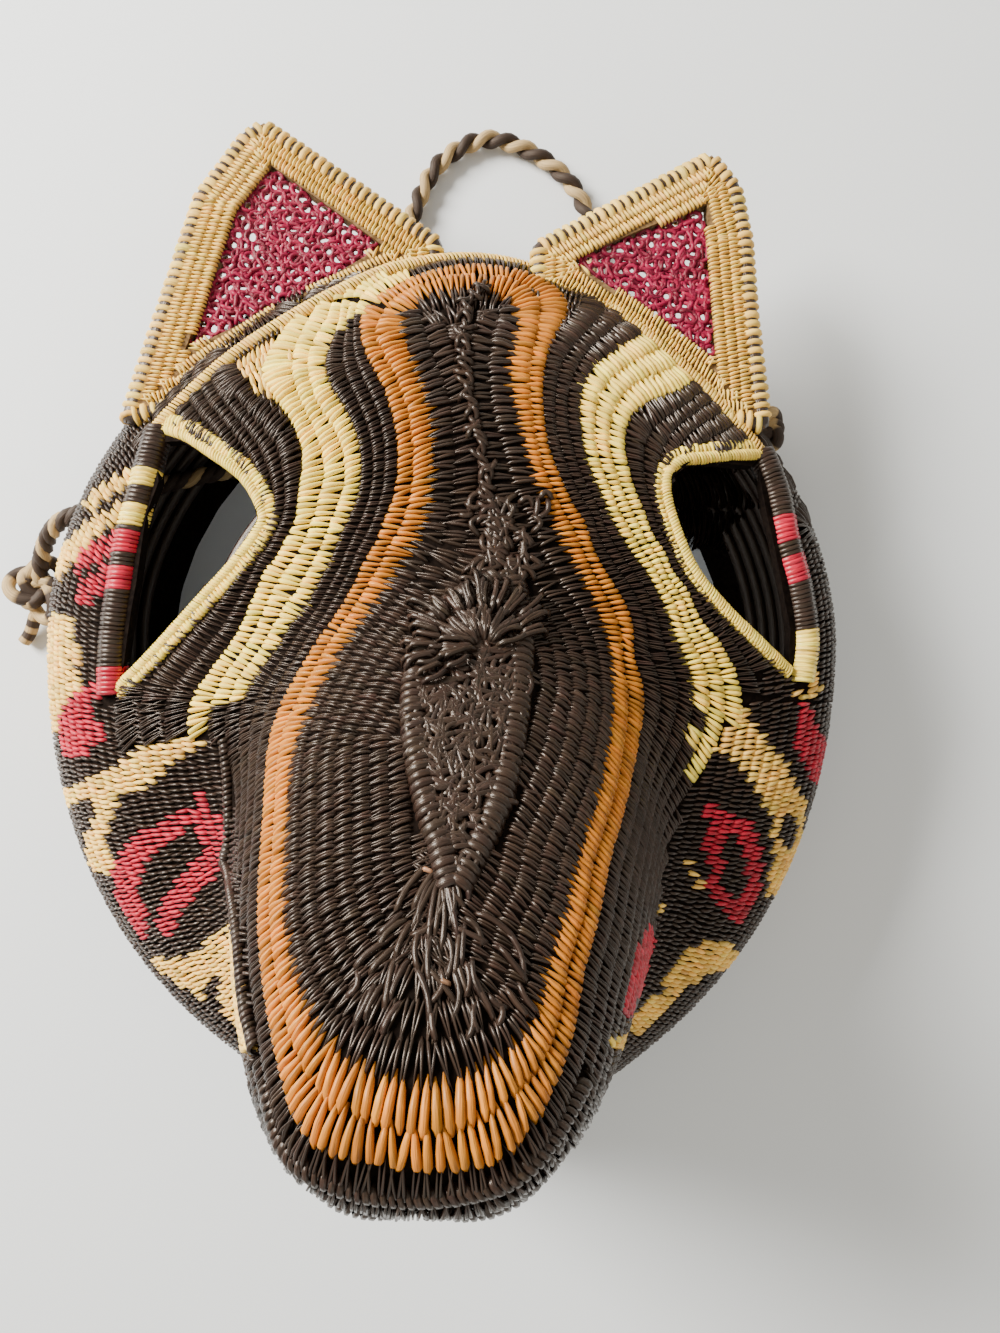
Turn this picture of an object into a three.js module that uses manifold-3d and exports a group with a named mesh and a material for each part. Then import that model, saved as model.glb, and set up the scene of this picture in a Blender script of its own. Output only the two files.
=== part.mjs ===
// A coiled, woven animal mask lying face up: one hollow woven face with a long snout, two ears with
// netted inserts, a hanging loop and a head strap with a knot at each end. Millimetres, +Z up; the
// open back lies on z = 0, the ears point along +Y and the snout rises from the lower half.
import * as THREE from "three";
import { mergeVertices } from "three/addons/utils/BufferGeometryUtils.js";
import Module from "manifold-3d";

const wasm = await Module();
wasm.setup();

// Driving dimensions of the face
const face = {
  halfWidth: 90, // at the widest, a little above the rim
  upperLength: 88, // from the widest place to the top of the forehead
  lowerLength: 106, // from the widest place to the chin
  middleY: -4,
  bulgeHeight: 24, // height of the widest place above the rim
  crownHeight: 33, // rise of the dome above the widest place
  upperPlanPower: 1.85, // roundness of the outline above and below the widest place
  lowerPlanPower: 2.12,
  crownPower: 2.3,
  rimNarrowing: 0.15, // share by which the wall draws in from the bulge to the rim
  rimNarrowingPower: 1.9,
  size: 60,
};
const snout = {
  middleX: 4.1,
  baseHeight: 10,
  tipHeight: 111,
  rootHeight: 55, // where the bridge meets the forehead
  slopeRun: 57,
  backAtRoot: 11,
  backRun: -84,
  frontAtRoot: -106.5,
  frontRun: 12,
  halfWidthAtRoot: 42.4,
  narrowing: 13,
  lateNarrowing: 10,
  lowestRise: -0.4, // below this the foot of the snout stops spreading
  footHeight: 32, // from here down the foot draws in behind the wall of the face
  footNarrowing: 0.22,
  droopFrom: -76,
  droop: 0.02,
  planPower: 2.1,
  boxPower: 8,
  size: 40,
};
const blend = 5; // softness of the line where the snout grows out of the face
const wall = 3.2; // thickness of one layer of coils
const gap = 0.3; // air between pieces that touch
const castCentre = new THREE.Vector3(2, -36, 12); // every part of the face can be seen from here

// Raised cords that are woven into the face
const trimRadius = 1.2;
const archRadius = 1.5;
const barRadius = 2.8;
const ridgeRadius = 2.4;
const ropeSides = 6;

// Ears
const ear = { thickness: 4, bevel: 1, laceThickness: 1.6, height: 41, heightFromY: 40, lean: -0.1 };

// Cords
const strapRadius = 2.2;
const loopRadius = 2.3;
const cordSides = 8;

const colours = {
  palmBrown: 0x3a2c26,
  palmCream: 0xe6c98a,
  palmCrimson: 0x9c1f45,
  cordTwoTone: 0x6b573d,
};

// Move that brings the middle of the finished mask over the origin
const centring = [0, 2.6, 0];

// Outlines in the plan, as x and y
const leftEye = [
  [-62, 35], [-56, 35], [-50, 32], [-45, 29], [-41, 26], [-38, 22], [-37, 19], [-38, 16], [-42, 10],
  [-49, 2], [-59, -9], [-66, -17], [-65, -12], [-64, -3], [-63, 5], [-62, 19], [-60, 26],
];
const rightEye = [
  [68, 38], [66, 36], [53, 35], [50, 34], [47, 30], [46.5, 26], [48, 21], [53, 11], [57, 6],
  [61, 3], [69, -3], [75, -6], [75, 1], [73, 9], [71, 18], [69, 26], [68, 33],
];
const leftTrim = [
  [-66.5, -18], [-58.2, -10], [-48.1, 1.2], [-41.2, 9.1], [-37, 15.3], [-36, 19.5], [-40.5, 26.8],
  [-49.8, 33.2], [-55.6, 36.5], [-62.5, 38.5],
];
const rightTrim = [
  [75, -8], [66.3, -1.3], [58.8, 4.9], [51.8, 12.6], [46.8, 24], [46, 31], [49.3, 35], [55, 36.4],
  [68.5, 39.4],
];
const leftBar = [[-62, 38], [-64, 24], [-66, 13], [-67, 3], [-68, -8], [-68, -19]];
const rightBar = [[69, 40], [72, 31], [74, 20], [77, 10], [79, -1], [78, -10]];
const arch = [
  [-63, 37], [-59, 42], [-47, 54], [-35, 63], [-23, 71], [-12, 77], [7, 81], [25, 77], [40, 66],
  [54, 54], [69, 39],
];
const leftRidge = [[12, 8], [1, -1], [-2, -13], [-1, -23], [2, -33], [5, -40], [7, -46]];
const rightRidge = [[15, 8], [17, 0], [17, -12], [16, -23], [14, -33], [11, -40], [8, -46]];
const leftEar = [
  [-45, 110.5], [-49, 107.5], [-58.5, 93], [-62.5, 77], [-67, 56], [-70.5, 40], [-56, 44], [-32, 62],
  [-4, 76], [-4, 84],
];
const rightEar = [
  [56, 107.5], [61.5, 101], [64.5, 89], [66.5, 69], [69, 45], [56, 46], [40, 58], [17, 74], [17, 84],
];
const leftLace = [[-42.5, 100], [-50.5, 88], [-54, 72], [-58.5, 56.5], [-35, 69.5], [-16.5, 82.5]];
const rightLace = [[55, 95.5], [56.5, 78], [58, 59], [39, 72], [25, 81], [40, 88.5]];

// Routes of the free cords, as x, y and z
const strapRoute = [
  [-104, 6, 7], [-101, 14, 12], [-95, 20, 18], [-88, 23, 20], [-79, 27, 19], [-68, 32, 15],
  [-54, 37, 9], [-38, 40, 4.5], [-20, 42, 2.8], [0, 43, 2.5], [20, 43, 2.5], [38, 43, 4],
  [52, 45, 3.4], [60, 46.5, 7], [65, 47.5, 13], [69, 49, 16.5], [75, 51, 17],
];
const loopRoute = [
  [-13, 74, 14], [-15, 84, 9], [-16, 95, 4.5], [-14, 106, 2.8], [-8, 119, 2.6], [4, 126, 2.6],
  [18, 122, 2.6], [28, 113, 2.8], [32, 101, 3.4], [31, 88, 8], [29, 74, 14],
];
const leftKnot = { centre: [-104, 5, 7.4], radii: [8.5, 10, 7] };
const rightKnot = { centre: [75.5, 51, 17], radii: [5.5, 6.5, 5] };

// How far a point lies outside the dome of the face, in millimetres near its surface
function domeField(x, y, z) {
  const isUpper = y > face.middleY;
  const length = isUpper ? face.upperLength : face.lowerLength;
  const planPower = isUpper ? face.upperPlanPower : face.lowerPlanPower;
  const across = Math.abs(x / face.halfWidth) ** planPower;
  const along = Math.abs((y - face.middleY) / length) ** planPower;
  const plan = (across + along) ** (1 / planPower);
  const above = Math.max((z - face.bulgeHeight) / face.crownHeight, 0);
  const below = Math.max((face.bulgeHeight - z) / face.bulgeHeight, 0);
  const drawnIn = 1 - face.rimNarrowing * below ** face.rimNarrowingPower;
  const power = face.crownPower;
  const value = ((plan / Math.max(drawnIn, 0.05)) ** power + above ** power) ** (1 / power);
  return (value - 1) * face.size;
}

// The same for the snout, a box with rounded corners that leans and narrows as it rises
function snoutField(x, y, z) {
  const rise = Math.min(Math.max((z - snout.rootHeight) / snout.slopeRun, snout.lowestRise), 1.2);
  const foot = Math.min(Math.max((snout.footHeight - z) / snout.footHeight, 0), 1);
  const drawnIn = 1 - snout.footNarrowing * foot ** 2;
  const back = snout.backAtRoot + snout.backRun * rise;
  const front = snout.frontAtRoot + snout.frontRun * rise;
  const late = Math.max(rise, 0) ** 2;
  const halfWidth = snout.halfWidthAtRoot - snout.narrowing * rise - snout.lateNarrowing * late;
  const halfLength = ((back - front) / 2) * drawnIn;
  const across = Math.abs((x - snout.middleX) / (halfWidth * drawnIn)) ** snout.planPower;
  const along = Math.abs((y - (back + front) / 2) / halfLength) ** snout.planPower;
  const droop = snout.droop * Math.max(snout.droopFrom - y, 0) ** 2;
  const height = Math.max((z + droop - snout.baseHeight) / (snout.tipHeight - snout.baseHeight), 0);
  const power = snout.boxPower;
  const value = ((across + along) ** (power / snout.planPower) + height ** power) ** (1 / power);
  return (value - 1) * snout.size;
}

// Face and snout melted together
function formField(x, y, z) {
  const a = domeField(x, y, z);
  const b = snoutField(x, y, z);
  const least = Math.min(a, b);
  return least - blend * Math.log(Math.exp((least - a) / blend) + Math.exp((least - b) / blend));
}

// Signed distance to the outer surface, from the field and its slope
function distanceOutside(x, y, z) {
  const step = 0.2;
  const value = formField(x, y, z);
  const slope = Math.hypot(
    formField(x + step, y, z) - formField(x - step, y, z),
    formField(x, y + step, z) - formField(x, y - step, z),
    formField(x, y, z + step) - formField(x, y, z - step),
  ) / (2 * step);
  return value / Math.max(slope, 0.05);
}

// Height of the outer surface above a point of the plan
function surfaceHeight(x, y) {
  let high = 125;
  while (high > 1 && formField(x, y, high - 1) > 0) high -= 1;
  let low = high - 1;
  for (let i = 0; i < 20; i++) {
    const middle = (low + high) / 2;
    if (formField(x, y, middle) > 0) high = middle;
    else low = middle;
  }
  return high;
}

// Distance from the cast centre to the surface that lies inset millimetres inside the form
function castRadius(direction, inset) {
  let near = 2;
  let far = 230;
  for (let i = 0; i < 34; i++) {
    const r = (near + far) / 2;
    const p = direction.clone().multiplyScalar(r).add(castCentre);
    if (distanceOutside(p.x, p.y, p.z) + inset > 0) far = r;
    else near = r;
  }
  return near;
}

// Closed surface round the cast centre, one ring of points for each elevation in degrees
function castGeometry(azimuthCount, elevations, inset) {
  const vertices = [];
  const triangles = [];
  const addPoint = (azimuth, elevation) => {
    const level = Math.cos(elevation);
    const direction = new THREE.Vector3(
      level * Math.cos(azimuth), level * Math.sin(azimuth), Math.sin(elevation),
    );
    const p = direction.clone().multiplyScalar(castRadius(direction, inset)).add(castCentre);
    vertices.push(p.x, p.y, p.z);
  };
  addPoint(0, -Math.PI / 2);
  for (const elevation of elevations) {
    for (let i = 0; i < azimuthCount; i++) {
      addPoint((2 * Math.PI * i) / azimuthCount, THREE.MathUtils.degToRad(elevation));
    }
  }
  addPoint(0, Math.PI / 2);
  const top = 1 + elevations.length * azimuthCount;
  for (let i = 0; i < azimuthCount; i++) {
    const j = (i + 1) % azimuthCount;
    triangles.push(0, 1 + j, 1 + i);
    for (let k = 0; k + 1 < elevations.length; k++) {
      const a = 1 + k * azimuthCount;
      const b = a + azimuthCount;
      triangles.push(a + i, a + j, b + j, a + i, b + j, b + i);
    }
    const last = top - azimuthCount;
    triangles.push(last + i, last + j, top);
  }
  const geometry = new THREE.BufferGeometry();
  geometry.setAttribute("position", new THREE.Float32BufferAttribute(vertices, 3));
  geometry.setIndex(triangles);
  return geometry;
}

function toSolid(geometry) {
  const bare = geometry.clone();
  bare.deleteAttribute("normal");
  bare.deleteAttribute("uv");
  const merged = mergeVertices(bare, 1e-4);
  return new wasm.Manifold(new wasm.Mesh({
    numProp: 3,
    vertProperties: new Float32Array(merged.attributes.position.array),
    triVerts: new Uint32Array(merged.index.array),
  }));
}

function toGeometry(solid) {
  const mesh = solid.getMesh();
  const geometry = new THREE.BufferGeometry();
  geometry.setAttribute("position", new THREE.BufferAttribute(mesh.vertProperties, mesh.numProp));
  geometry.setIndex(new THREE.BufferAttribute(mesh.triVerts, 1));
  return geometry;
}

// Largest body of a solid, so that a cut leaves no crumbs
function largestBody(solid) {
  return solid.decompose().reduce((best, body) => (body.volume() > best.volume() ? body : best));
}

function roundSection(radius, sides) {
  const points = [];
  for (let i = 0; i < sides; i++) {
    const angle = (2 * Math.PI * i) / sides;
    points.push(new THREE.Vector2(radius * Math.cos(angle), radius * Math.sin(angle)));
  }
  return new THREE.Shape(points);
}

function tube(route, radius, sides, steps) {
  const path = new THREE.CatmullRomCurve3(route.map((p) => new THREE.Vector3(...p)));
  return toSolid(new THREE.ExtrudeGeometry(roundSection(radius, sides), { steps, extrudePath: path }));
}

// A cord that lies along the surface, half sunk in it
function surfaceRope(plan, radius, steps) {
  const route = plan.map(([x, y]) => [x, y, surfaceHeight(x, y) - radius * 0.3]);
  return tube(route, radius, ropeSides, steps);
}

// Upright block with an outline from the plan
function block(outline, bottom, top) {
  const shape = new THREE.Shape(outline.map(([x, y]) => new THREE.Vector2(x, y)));
  const geometry = new THREE.ExtrudeGeometry(shape, { depth: top - bottom, bevelEnabled: false });
  geometry.translate(0, 0, bottom);
  return toSolid(geometry);
}

const outerElevations = [
  -30, -14, -7, -2, 3, 7, 11, 15, 19, 23, 27, 31, 35, 40, 45, 50, 55, 60, 65, 70, 75, 80, 85,
];
const innerElevations = [-34, -16, -6, 2, 9, 15, 21, 27, 33, 39, 45, 52, 59, 66, 74, 82];

function outerForm(inset) {
  return toSolid(castGeometry(64, outerElevations, inset));
}

// Ropes woven onto the face; more adds to their radius
function faceRopes(more) {
  return [
    surfaceRope(leftTrim, trimRadius + more, 16),
    surfaceRope(rightTrim, trimRadius + more, 16),
    surfaceRope(leftBar, barRadius + more, 8),
    surfaceRope(rightBar, barRadius + more, 8),
    surfaceRope(arch, archRadius + more, 22),
    surfaceRope(leftRidge, ridgeRadius + more, 11),
    surfaceRope(rightRidge, ridgeRadius + more, 11),
  ];
}

function wovenFace() {
  const aboveFloor = toSolid(new THREE.BoxGeometry(400, 400, 200).translate(0, 0, 100));
  let shell = outerForm(0);
  shell = shell.subtract(toSolid(castGeometry(48, innerElevations, wall)));
  shell = shell.subtract(block(leftEye, 20, 120)).subtract(block(rightEye, 20, 120));
  for (const rope of faceRopes(0)) shell = shell.add(rope);
  shell = shell.intersect(aboveFloor);
  shell = shell.subtract(tube(strapRoute, strapRadius + gap, cordSides, 40));
  return largestBody(shell);
}

// The plate of an ear lies nearly level and drops a little towards its tip
function leanPlate(solid) {
  const geometry = toGeometry(solid);
  const position = geometry.attributes.position;
  for (let i = 0; i < position.count; i++) {
    const drop = ear.lean * (position.getY(i) - ear.heightFromY);
    position.setZ(i, position.getZ(i) + drop);
  }
  return toSolid(geometry);
}

function grow(outline, amount) {
  const middleX = outline.reduce((sum, p) => sum + p[0], 0) / outline.length;
  const middleY = outline.reduce((sum, p) => sum + p[1], 0) / outline.length;
  return outline.map(([x, y]) => {
    const reach = Math.hypot(x - middleX, y - middleY);
    const share = 1 + amount / reach;
    return [middleX + (x - middleX) * share, middleY + (y - middleY) * share];
  });
}

// Flat plate with softened edges
function bevelledPlate(outline, bottom, top, bevel) {
  const shape = new THREE.Shape(outline.map(([x, y]) => new THREE.Vector2(x, y)));
  const geometry = new THREE.ExtrudeGeometry(shape, {
    depth: top - bottom - 2 * bevel,
    bevelThickness: bevel,
    bevelSize: bevel,
    bevelOffset: -bevel,
    bevelSegments: 2,
  });
  geometry.translate(0, 0, bottom + bevel);
  return toSolid(geometry);
}

function earFrame(outline, lace, around) {
  const plate = bevelledPlate(outline, ear.height - ear.thickness, ear.height, ear.bevel);
  return largestBody(leanPlate(plate.subtract(block(lace, 0, 100))).subtract(around));
}

function earLace(lace, around) {
  const middle = ear.height - ear.thickness / 2;
  const half = ear.laceThickness / 2;
  const plate = block(grow(lace, -3 * gap), middle - half, middle + half);
  return largestBody(leanPlate(plate).subtract(around));
}

function knot({ centre, radii }, more) {
  const geometry = new THREE.SphereGeometry(1, 12, 8);
  geometry.scale(radii[0] + more, radii[1] + more, radii[2] + more);
  geometry.translate(...centre);
  return toSolid(geometry);
}

function headStrap() {
  const cord = tube(strapRoute, strapRadius, cordSides, 40);
  return largestBody(cord.subtract(knot(leftKnot, gap)).subtract(knot(rightKnot, gap)));
}

function hangingLoop(around) {
  return largestBody(tube(loopRoute, loopRadius, cordSides, 30).subtract(around));
}

function piece(name, solid, colour) {
  const material = new THREE.MeshStandardMaterial({ color: colour, roughness: 0.55, metalness: 0 });
  const mesh = new THREE.Mesh(toGeometry(solid.translate(centring)), material);
  mesh.name = name;
  return mesh;
}

// The face and its ropes, swollen by the gap, to trim what is sewn against it
let swollenFace = outerForm(-gap);
for (const rope of faceRopes(gap)) swollenFace = swollenFace.add(rope);

const mask = new THREE.Group();
mask.add(
  piece("woven_face", wovenFace(), colours.palmBrown),
  piece("left_ear_frame", earFrame(leftEar, leftLace, swollenFace), colours.palmCream),
  piece("right_ear_frame", earFrame(rightEar, rightLace, swollenFace), colours.palmCream),
  piece("left_ear_lace", earLace(leftLace, swollenFace), colours.palmCrimson),
  piece("right_ear_lace", earLace(rightLace, swollenFace), colours.palmCrimson),
  piece("hanging_loop", hangingLoop(swollenFace), colours.cordTwoTone),
  piece("head_strap", headStrap(), colours.cordTwoTone),
  piece("left_knot", knot(leftKnot, 0), colours.cordTwoTone),
  piece("right_knot", knot(rightKnot, 0).subtract(swollenFace), colours.cordTwoTone),
);

export default mask;
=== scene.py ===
# A woven palm-fibre animal mask lying face up on a pale table. Every coil row is laid out by walking
# over the mask's form, and every stitch, wrap and cord strand is a real strand of mesh.
import math

import bpy
import numpy as np
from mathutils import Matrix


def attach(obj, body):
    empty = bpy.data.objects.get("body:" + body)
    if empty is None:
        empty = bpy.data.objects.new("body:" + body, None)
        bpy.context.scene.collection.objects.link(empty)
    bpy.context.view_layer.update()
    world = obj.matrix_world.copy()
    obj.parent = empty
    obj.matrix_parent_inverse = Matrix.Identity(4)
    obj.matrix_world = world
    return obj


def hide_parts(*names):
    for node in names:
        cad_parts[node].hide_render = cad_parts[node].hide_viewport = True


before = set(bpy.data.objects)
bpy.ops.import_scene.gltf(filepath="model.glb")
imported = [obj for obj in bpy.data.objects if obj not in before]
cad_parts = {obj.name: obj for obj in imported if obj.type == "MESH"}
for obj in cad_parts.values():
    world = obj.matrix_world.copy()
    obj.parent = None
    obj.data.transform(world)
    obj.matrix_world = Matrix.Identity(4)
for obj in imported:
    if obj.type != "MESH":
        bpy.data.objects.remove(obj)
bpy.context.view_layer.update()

# The form is worked out in millimetres, in the drawing's own frame; this moves it over the origin
CENTRING = np.array([0.0, 2.6, 0.0])

# Camera, as fitted to the photograph, in the drawing's frame
CAMERA_PLACE = np.array([13.42, -9.61, 245.0])
CAMERA_TURN = math.radians(2.5)
FRAME_WIDTH = 1000.0
FRAME_HEIGHT = 1333.0
FOCAL_PIXELS = 940.0
SENSOR_WIDTH = 36.0

# Form of the face
FACE = dict(half_width=90.0, upper=88.0, lower=106.0, middle_y=-4.0, bulge_z=24.0, crown=33.0,
            upper_power=1.85, lower_power=2.12, crown_power=2.3, narrowing=0.15, narrowing_power=1.9,
            size=60.0)
SNOUT = dict(middle_x=4.1, base_z=10.0, tip_z=111.0, root_z=55.0, run_z=57.0, back=11.0, back_run=-84.0,
             front=-106.5, front_run=12.0, half_width=42.4, narrowing=13.0, late=10.0, lowest=-0.4,
             foot_z=32.0, foot=0.22, droop_from=-76.0, droop=0.02, power=2.1, box_power=8.0, size=40.0)
BLEND = 5.0
WALL = 3.2
CHART_CENTRE = np.array([2.0, -36.0, 12.0])
SEARCH_TOP = 125.0
TABLE_GAP = 0.05
UP = np.array([0.0, 0.0, 1.0])

# Weave
ROW_PITCH = 3.3
STITCH_PITCH = 1.22
STATIONS = 1200
OUTER_ROWS = 18
INNER_ROWS = 12
SIDE_ROWS = 46
INSIDE_ROWS = 36

# Limits of the weave's parts: places in millimetres, and an edge of the flat map in degrees
LEAN_SIDES_X = 4.0
EYE_LOWEST_Z = 28.0
DROP_LOWEST_Z = 50.0
LOWER_SNOUT_Y = -34.0
JAW_TOP_Y = -86.0
JAW_FIRST_ROW = 5
BARE_DISTANCE = 2.5
RED_EDGE = 0.4

# Colours, linear
DARK = (0.027, 0.0148, 0.0098)
CREAM = (1.0, 0.72, 0.120)
CHEEK_CREAM = (0.92, 0.57, 0.130)
ORANGE = (0.52, 0.178, 0.016)
RED = (0.47, 0.010, 0.034)
TAN = (0.84, 0.53, 0.115)
CRIMSON = (0.22, 0.002, 0.030)
TAN_CORD = (0.46, 0.31, 0.14)
BROWN_CORD = (0.035, 0.022, 0.016)
KNOT_BROWN = (0.30, 0.16, 0.08)

# Outline where the orange band begins, seen in the photograph, as pixels
ORANGE_LOOP = [
    (400, 315), (410, 355), (427, 400), (432, 442), (432, 480), (422, 530), (407, 552), (385, 590),
    (345, 644), (322, 686), (301, 728), (292, 765), (289, 805), (287, 850), (285, 905), (292, 960),
    (300, 990), (312, 1020), (326, 1042), (350, 1058), (385, 1074), (415, 1080), (442, 1082), (475, 1068),
    (507, 1052), (527, 1034), (542, 1000), (552, 950), (567, 910), (577, 860), (590, 820), (602, 780),
    (608, 742), (612, 717), (613, 690), (611, 655), (603, 625), (585, 585), (565, 547), (547, 507),
    (535, 480), (525, 442), (515, 405), (511, 372), (514, 345), (520, 320), (515, 302), (485, 292),
    (447, 291), (418, 300),
]

# Lines that the rows of the middle follow, each with its number of rows out from the orange's inner edge
ROW_GUIDES = [
    (2.0, [(424, 276), (396, 288), (372, 302), (362, 318), (362, 335), (366, 350), (375, 370), (389, 400),
           (396, 430), (398, 460), (395, 490), (385, 520), (365, 560), (345, 600), (318, 640),
           (295, 680)]),
    (2.0, [(450, 269), (469, 267), (500, 269), (525, 274), (550, 284), (570, 294), (580, 306),
           (572, 320), (558, 333), (547, 355),
           (543, 400), (547, 440), (560, 475), (585, 520), (605, 570), (634, 655), (642, 680)]),
    (5.0, [(340, 322), (328, 345), (322, 370), (330, 390), (345, 410),
           (357, 440), (360, 480), (353, 507), (330, 560), (308, 602), (279, 644), (250, 683)]),
    (5.0, [(640, 338), (610, 357), (590, 375), (582, 395), (582, 425), (585, 450), (595, 480),
           (610, 515), (625, 542), (650, 577), (665, 605), (678, 643), (693, 680)]),
    (8.0, [(290, 322), (255, 348), (238, 368), (248, 387), (270, 402),
           (290, 420), (300, 445), (300, 480), (298, 507), (285, 540), (265, 570), (251, 602),
           (230, 644), (208, 672), (190, 700)]),
    (8.0, [(700, 372), (684, 388), (665, 397), (640, 408), (627, 425), (626, 450), (632, 480),
           (645, 510), (665, 550), (690, 590), (719, 640), (740, 685)]),
    (10.5, [(262, 478), (268, 492), (264, 515), (250, 540), (237, 562), (212, 594), (190, 616),
            (160, 650), (130, 684)]),
    (11.5, [(232, 452), (248, 463)]),
    (12.5, [(195, 432), (214, 440)]),
    (13.5, [(166, 420)]),
    (10.5, [(664, 476), (660, 492), (666, 512), (676, 536), (688, 562), (706, 588), (732, 616),
            (752, 636), (774, 656)]),
    (11.6, [(682, 456)]),
    (12.6, [(718, 452)]),
    (13.6, [(756, 452)]),
]

# Edge between the rows that follow the orange band and the rows that follow the rim
CENTRE_EDGE_LEFT = [(112, 690), (132, 748), (160, 742), (188, 738), (216, 738), (228, 745), (236, 800),
                    (243, 880), (250, 960), (257, 1045)]
CENTRE_EDGE_FRONT = [(-25, -84, 82), (-20, -96, 68), (-8, -102, 62), (4, -104, 60), (16, -102, 62),
                     (29, -94, 70)]
CENTRE_EDGE_RIGHT = [(606, 1066), (622, 1020), (640, 980), (650, 930), (662, 870), (690, 792), (716, 745),
                     (745, 705), (765, 668), (778, 655)]
CENTRE_EDGE_TOP = [(794, 600), (776, 450), (700, 362), (600, 290), (485, 252), (380, 262), (300, 300),
                   (225, 345), (150, 410), (135, 560)]

# Patches of colour, as pixels
CREAM_PATCHES = [
    [(404, 266), (372, 280), (330, 300), (290, 325), (255, 350), (238, 368), (245, 385), (270, 400),
     (290, 420), (300, 440), (300, 480), (301, 507), (285, 540), (265, 565), (251, 602), (230, 644),
     (208, 672), (196, 688), (185, 707), (186, 740), (216, 740), (214, 707), (236, 703), (250, 683),
     (279, 644), (308, 602), (330, 560), (353, 507), (360, 480), (357, 440), (345, 410), (330, 390),
     (322, 370), (330, 345), (350, 320), (385, 298), (414, 284)],
    [(640, 330), (610, 357), (590, 375), (582, 395), (582, 425), (585, 450), (595, 480), (610, 515),
     (625, 542), (650, 577), (665, 605), (673, 643), (693, 664), (698, 686), (695, 706), (703, 716),
     (692, 735), (684, 762), (690, 788), (699, 767), (707, 747), (718, 756), (755, 735), (745, 700),
     (719, 640), (690, 600), (665, 550), (645, 510), (632, 480), (626, 450), (627, 425), (637, 407),
     (665, 395), (700, 385), (690, 360), (665, 335)],
    [(214, 738), (186, 737), (166, 741), (148, 745), (130, 756), (113, 768), (96, 772), (82, 783),
     (62, 797), (68, 812), (93, 799), (96, 815), (86, 834), (92, 866), (116, 876), (109, 850),
     (107, 827), (116, 807), (124, 796), (138, 787), (147, 791), (166, 772), (189, 751), (217, 740)],
    [(718, 745), (735, 762), (747, 775), (761, 798), (770, 816), (773, 854), (764, 894), (780, 880),
     (800, 830), (804, 801), (791, 782), (790, 770), (773, 747), (755, 730), (745, 700)],
    [(157, 468), (157, 489), (130, 487), (108, 497), (92, 512), (84, 505), (100, 488), (125, 472)],
    [(148, 505), (146, 524), (115, 523), (95, 537), (78, 558), (62, 580), (54, 566), (72, 540),
     (95, 518), (120, 505)],
    [(60, 612), (78, 622), (72, 640), (86, 652), (76, 668), (88, 690), (70, 706), (62, 730), (50, 735),
     (50, 650)],
    [(150, 952), (168, 958), (185, 957), (200, 950), (216, 930), (232, 920), (240, 938), (246, 1000),
     (262, 1042), (240, 1025), (222, 1012), (220, 975), (208, 980), (204, 998), (180, 985), (160, 968)],
    [(700, 942), (684, 950), (676, 962), (663, 985), (650, 1000), (634, 1016), (614, 1032), (606, 1046),
     (640, 1036), (662, 1012), (690, 985), (716, 968), (738, 950), (720, 938)],
    [(684, 858), (690, 872), (698, 888), (704, 880), (694, 868)],
    [(656, 896), (660, 915), (664, 905)],
    [(788, 668), (812, 664), (820, 690), (806, 702), (792, 698)],
]
DARK_SPOTS = [
    [(83, 806), (94, 800), (97, 812), (90, 835), (82, 830)],
    [(779, 818), (790, 812), (798, 830), (788, 854), (780, 840)],
]
RED_PATCHES = [
    [(119, 675), (123, 682), (110, 692), (96, 698), (86, 708), (92, 722), (106, 729), (94, 746),
     (78, 756), (64, 752), (60, 724), (72, 700)],
    [(203, 794), (209, 812), (222, 811), (227, 835), (226, 858), (212, 877), (198, 893), (183, 910),
     (172, 934), (158, 920), (170, 893), (183, 879), (199, 860), (208, 846), (203, 836), (195, 820),
     (186, 828), (175, 838), (150, 857), (143, 868), (137, 890), (146, 908), (146, 938), (124, 912),
     (117, 890), (117, 862), (129, 845), (146, 831), (179, 812), (196, 808)],
    [(706, 796), (714, 812), (730, 816), (747, 820), (756, 839), (759, 880), (750, 905), (738, 920),
     (722, 906), (704, 880), (712, 868), (716, 880), (728, 896), (740, 900), (748, 880), (746, 850),
     (734, 830), (724, 838), (720, 852), (722, 872), (712, 872), (702, 842), (708, 830)],
    [(647, 926), (652, 941), (648, 959), (643, 974), (641, 989), (631, 996), (631, 1007), (622, 1012),
     (621, 1000), (628, 983), (634, 956), (640, 935)],
    [(797, 700), (805, 701), (817, 732), (818, 770), (812, 782), (797, 747)],
    [(141, 536), (140, 552), (112, 552), (95, 560), (78, 572), (80, 556), (105, 540)],
    [(136, 566), (134, 590), (112, 588), (95, 595), (80, 606), (82, 584), (110, 568)],
]

# Coloured bands of the bars beside the eyes: top and bottom in the photograph, as pixel rows
LEFT_BAR_BANDS = [(470, 490, CREAM), (504, 527, CREAM), (534, 552, RED),
                  (566, 592, RED), (668, 700, RED)]
RIGHT_BAR_BANDS = [(517, 543, RED), (554, 582, RED), (627, 700, CREAM)]

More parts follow.
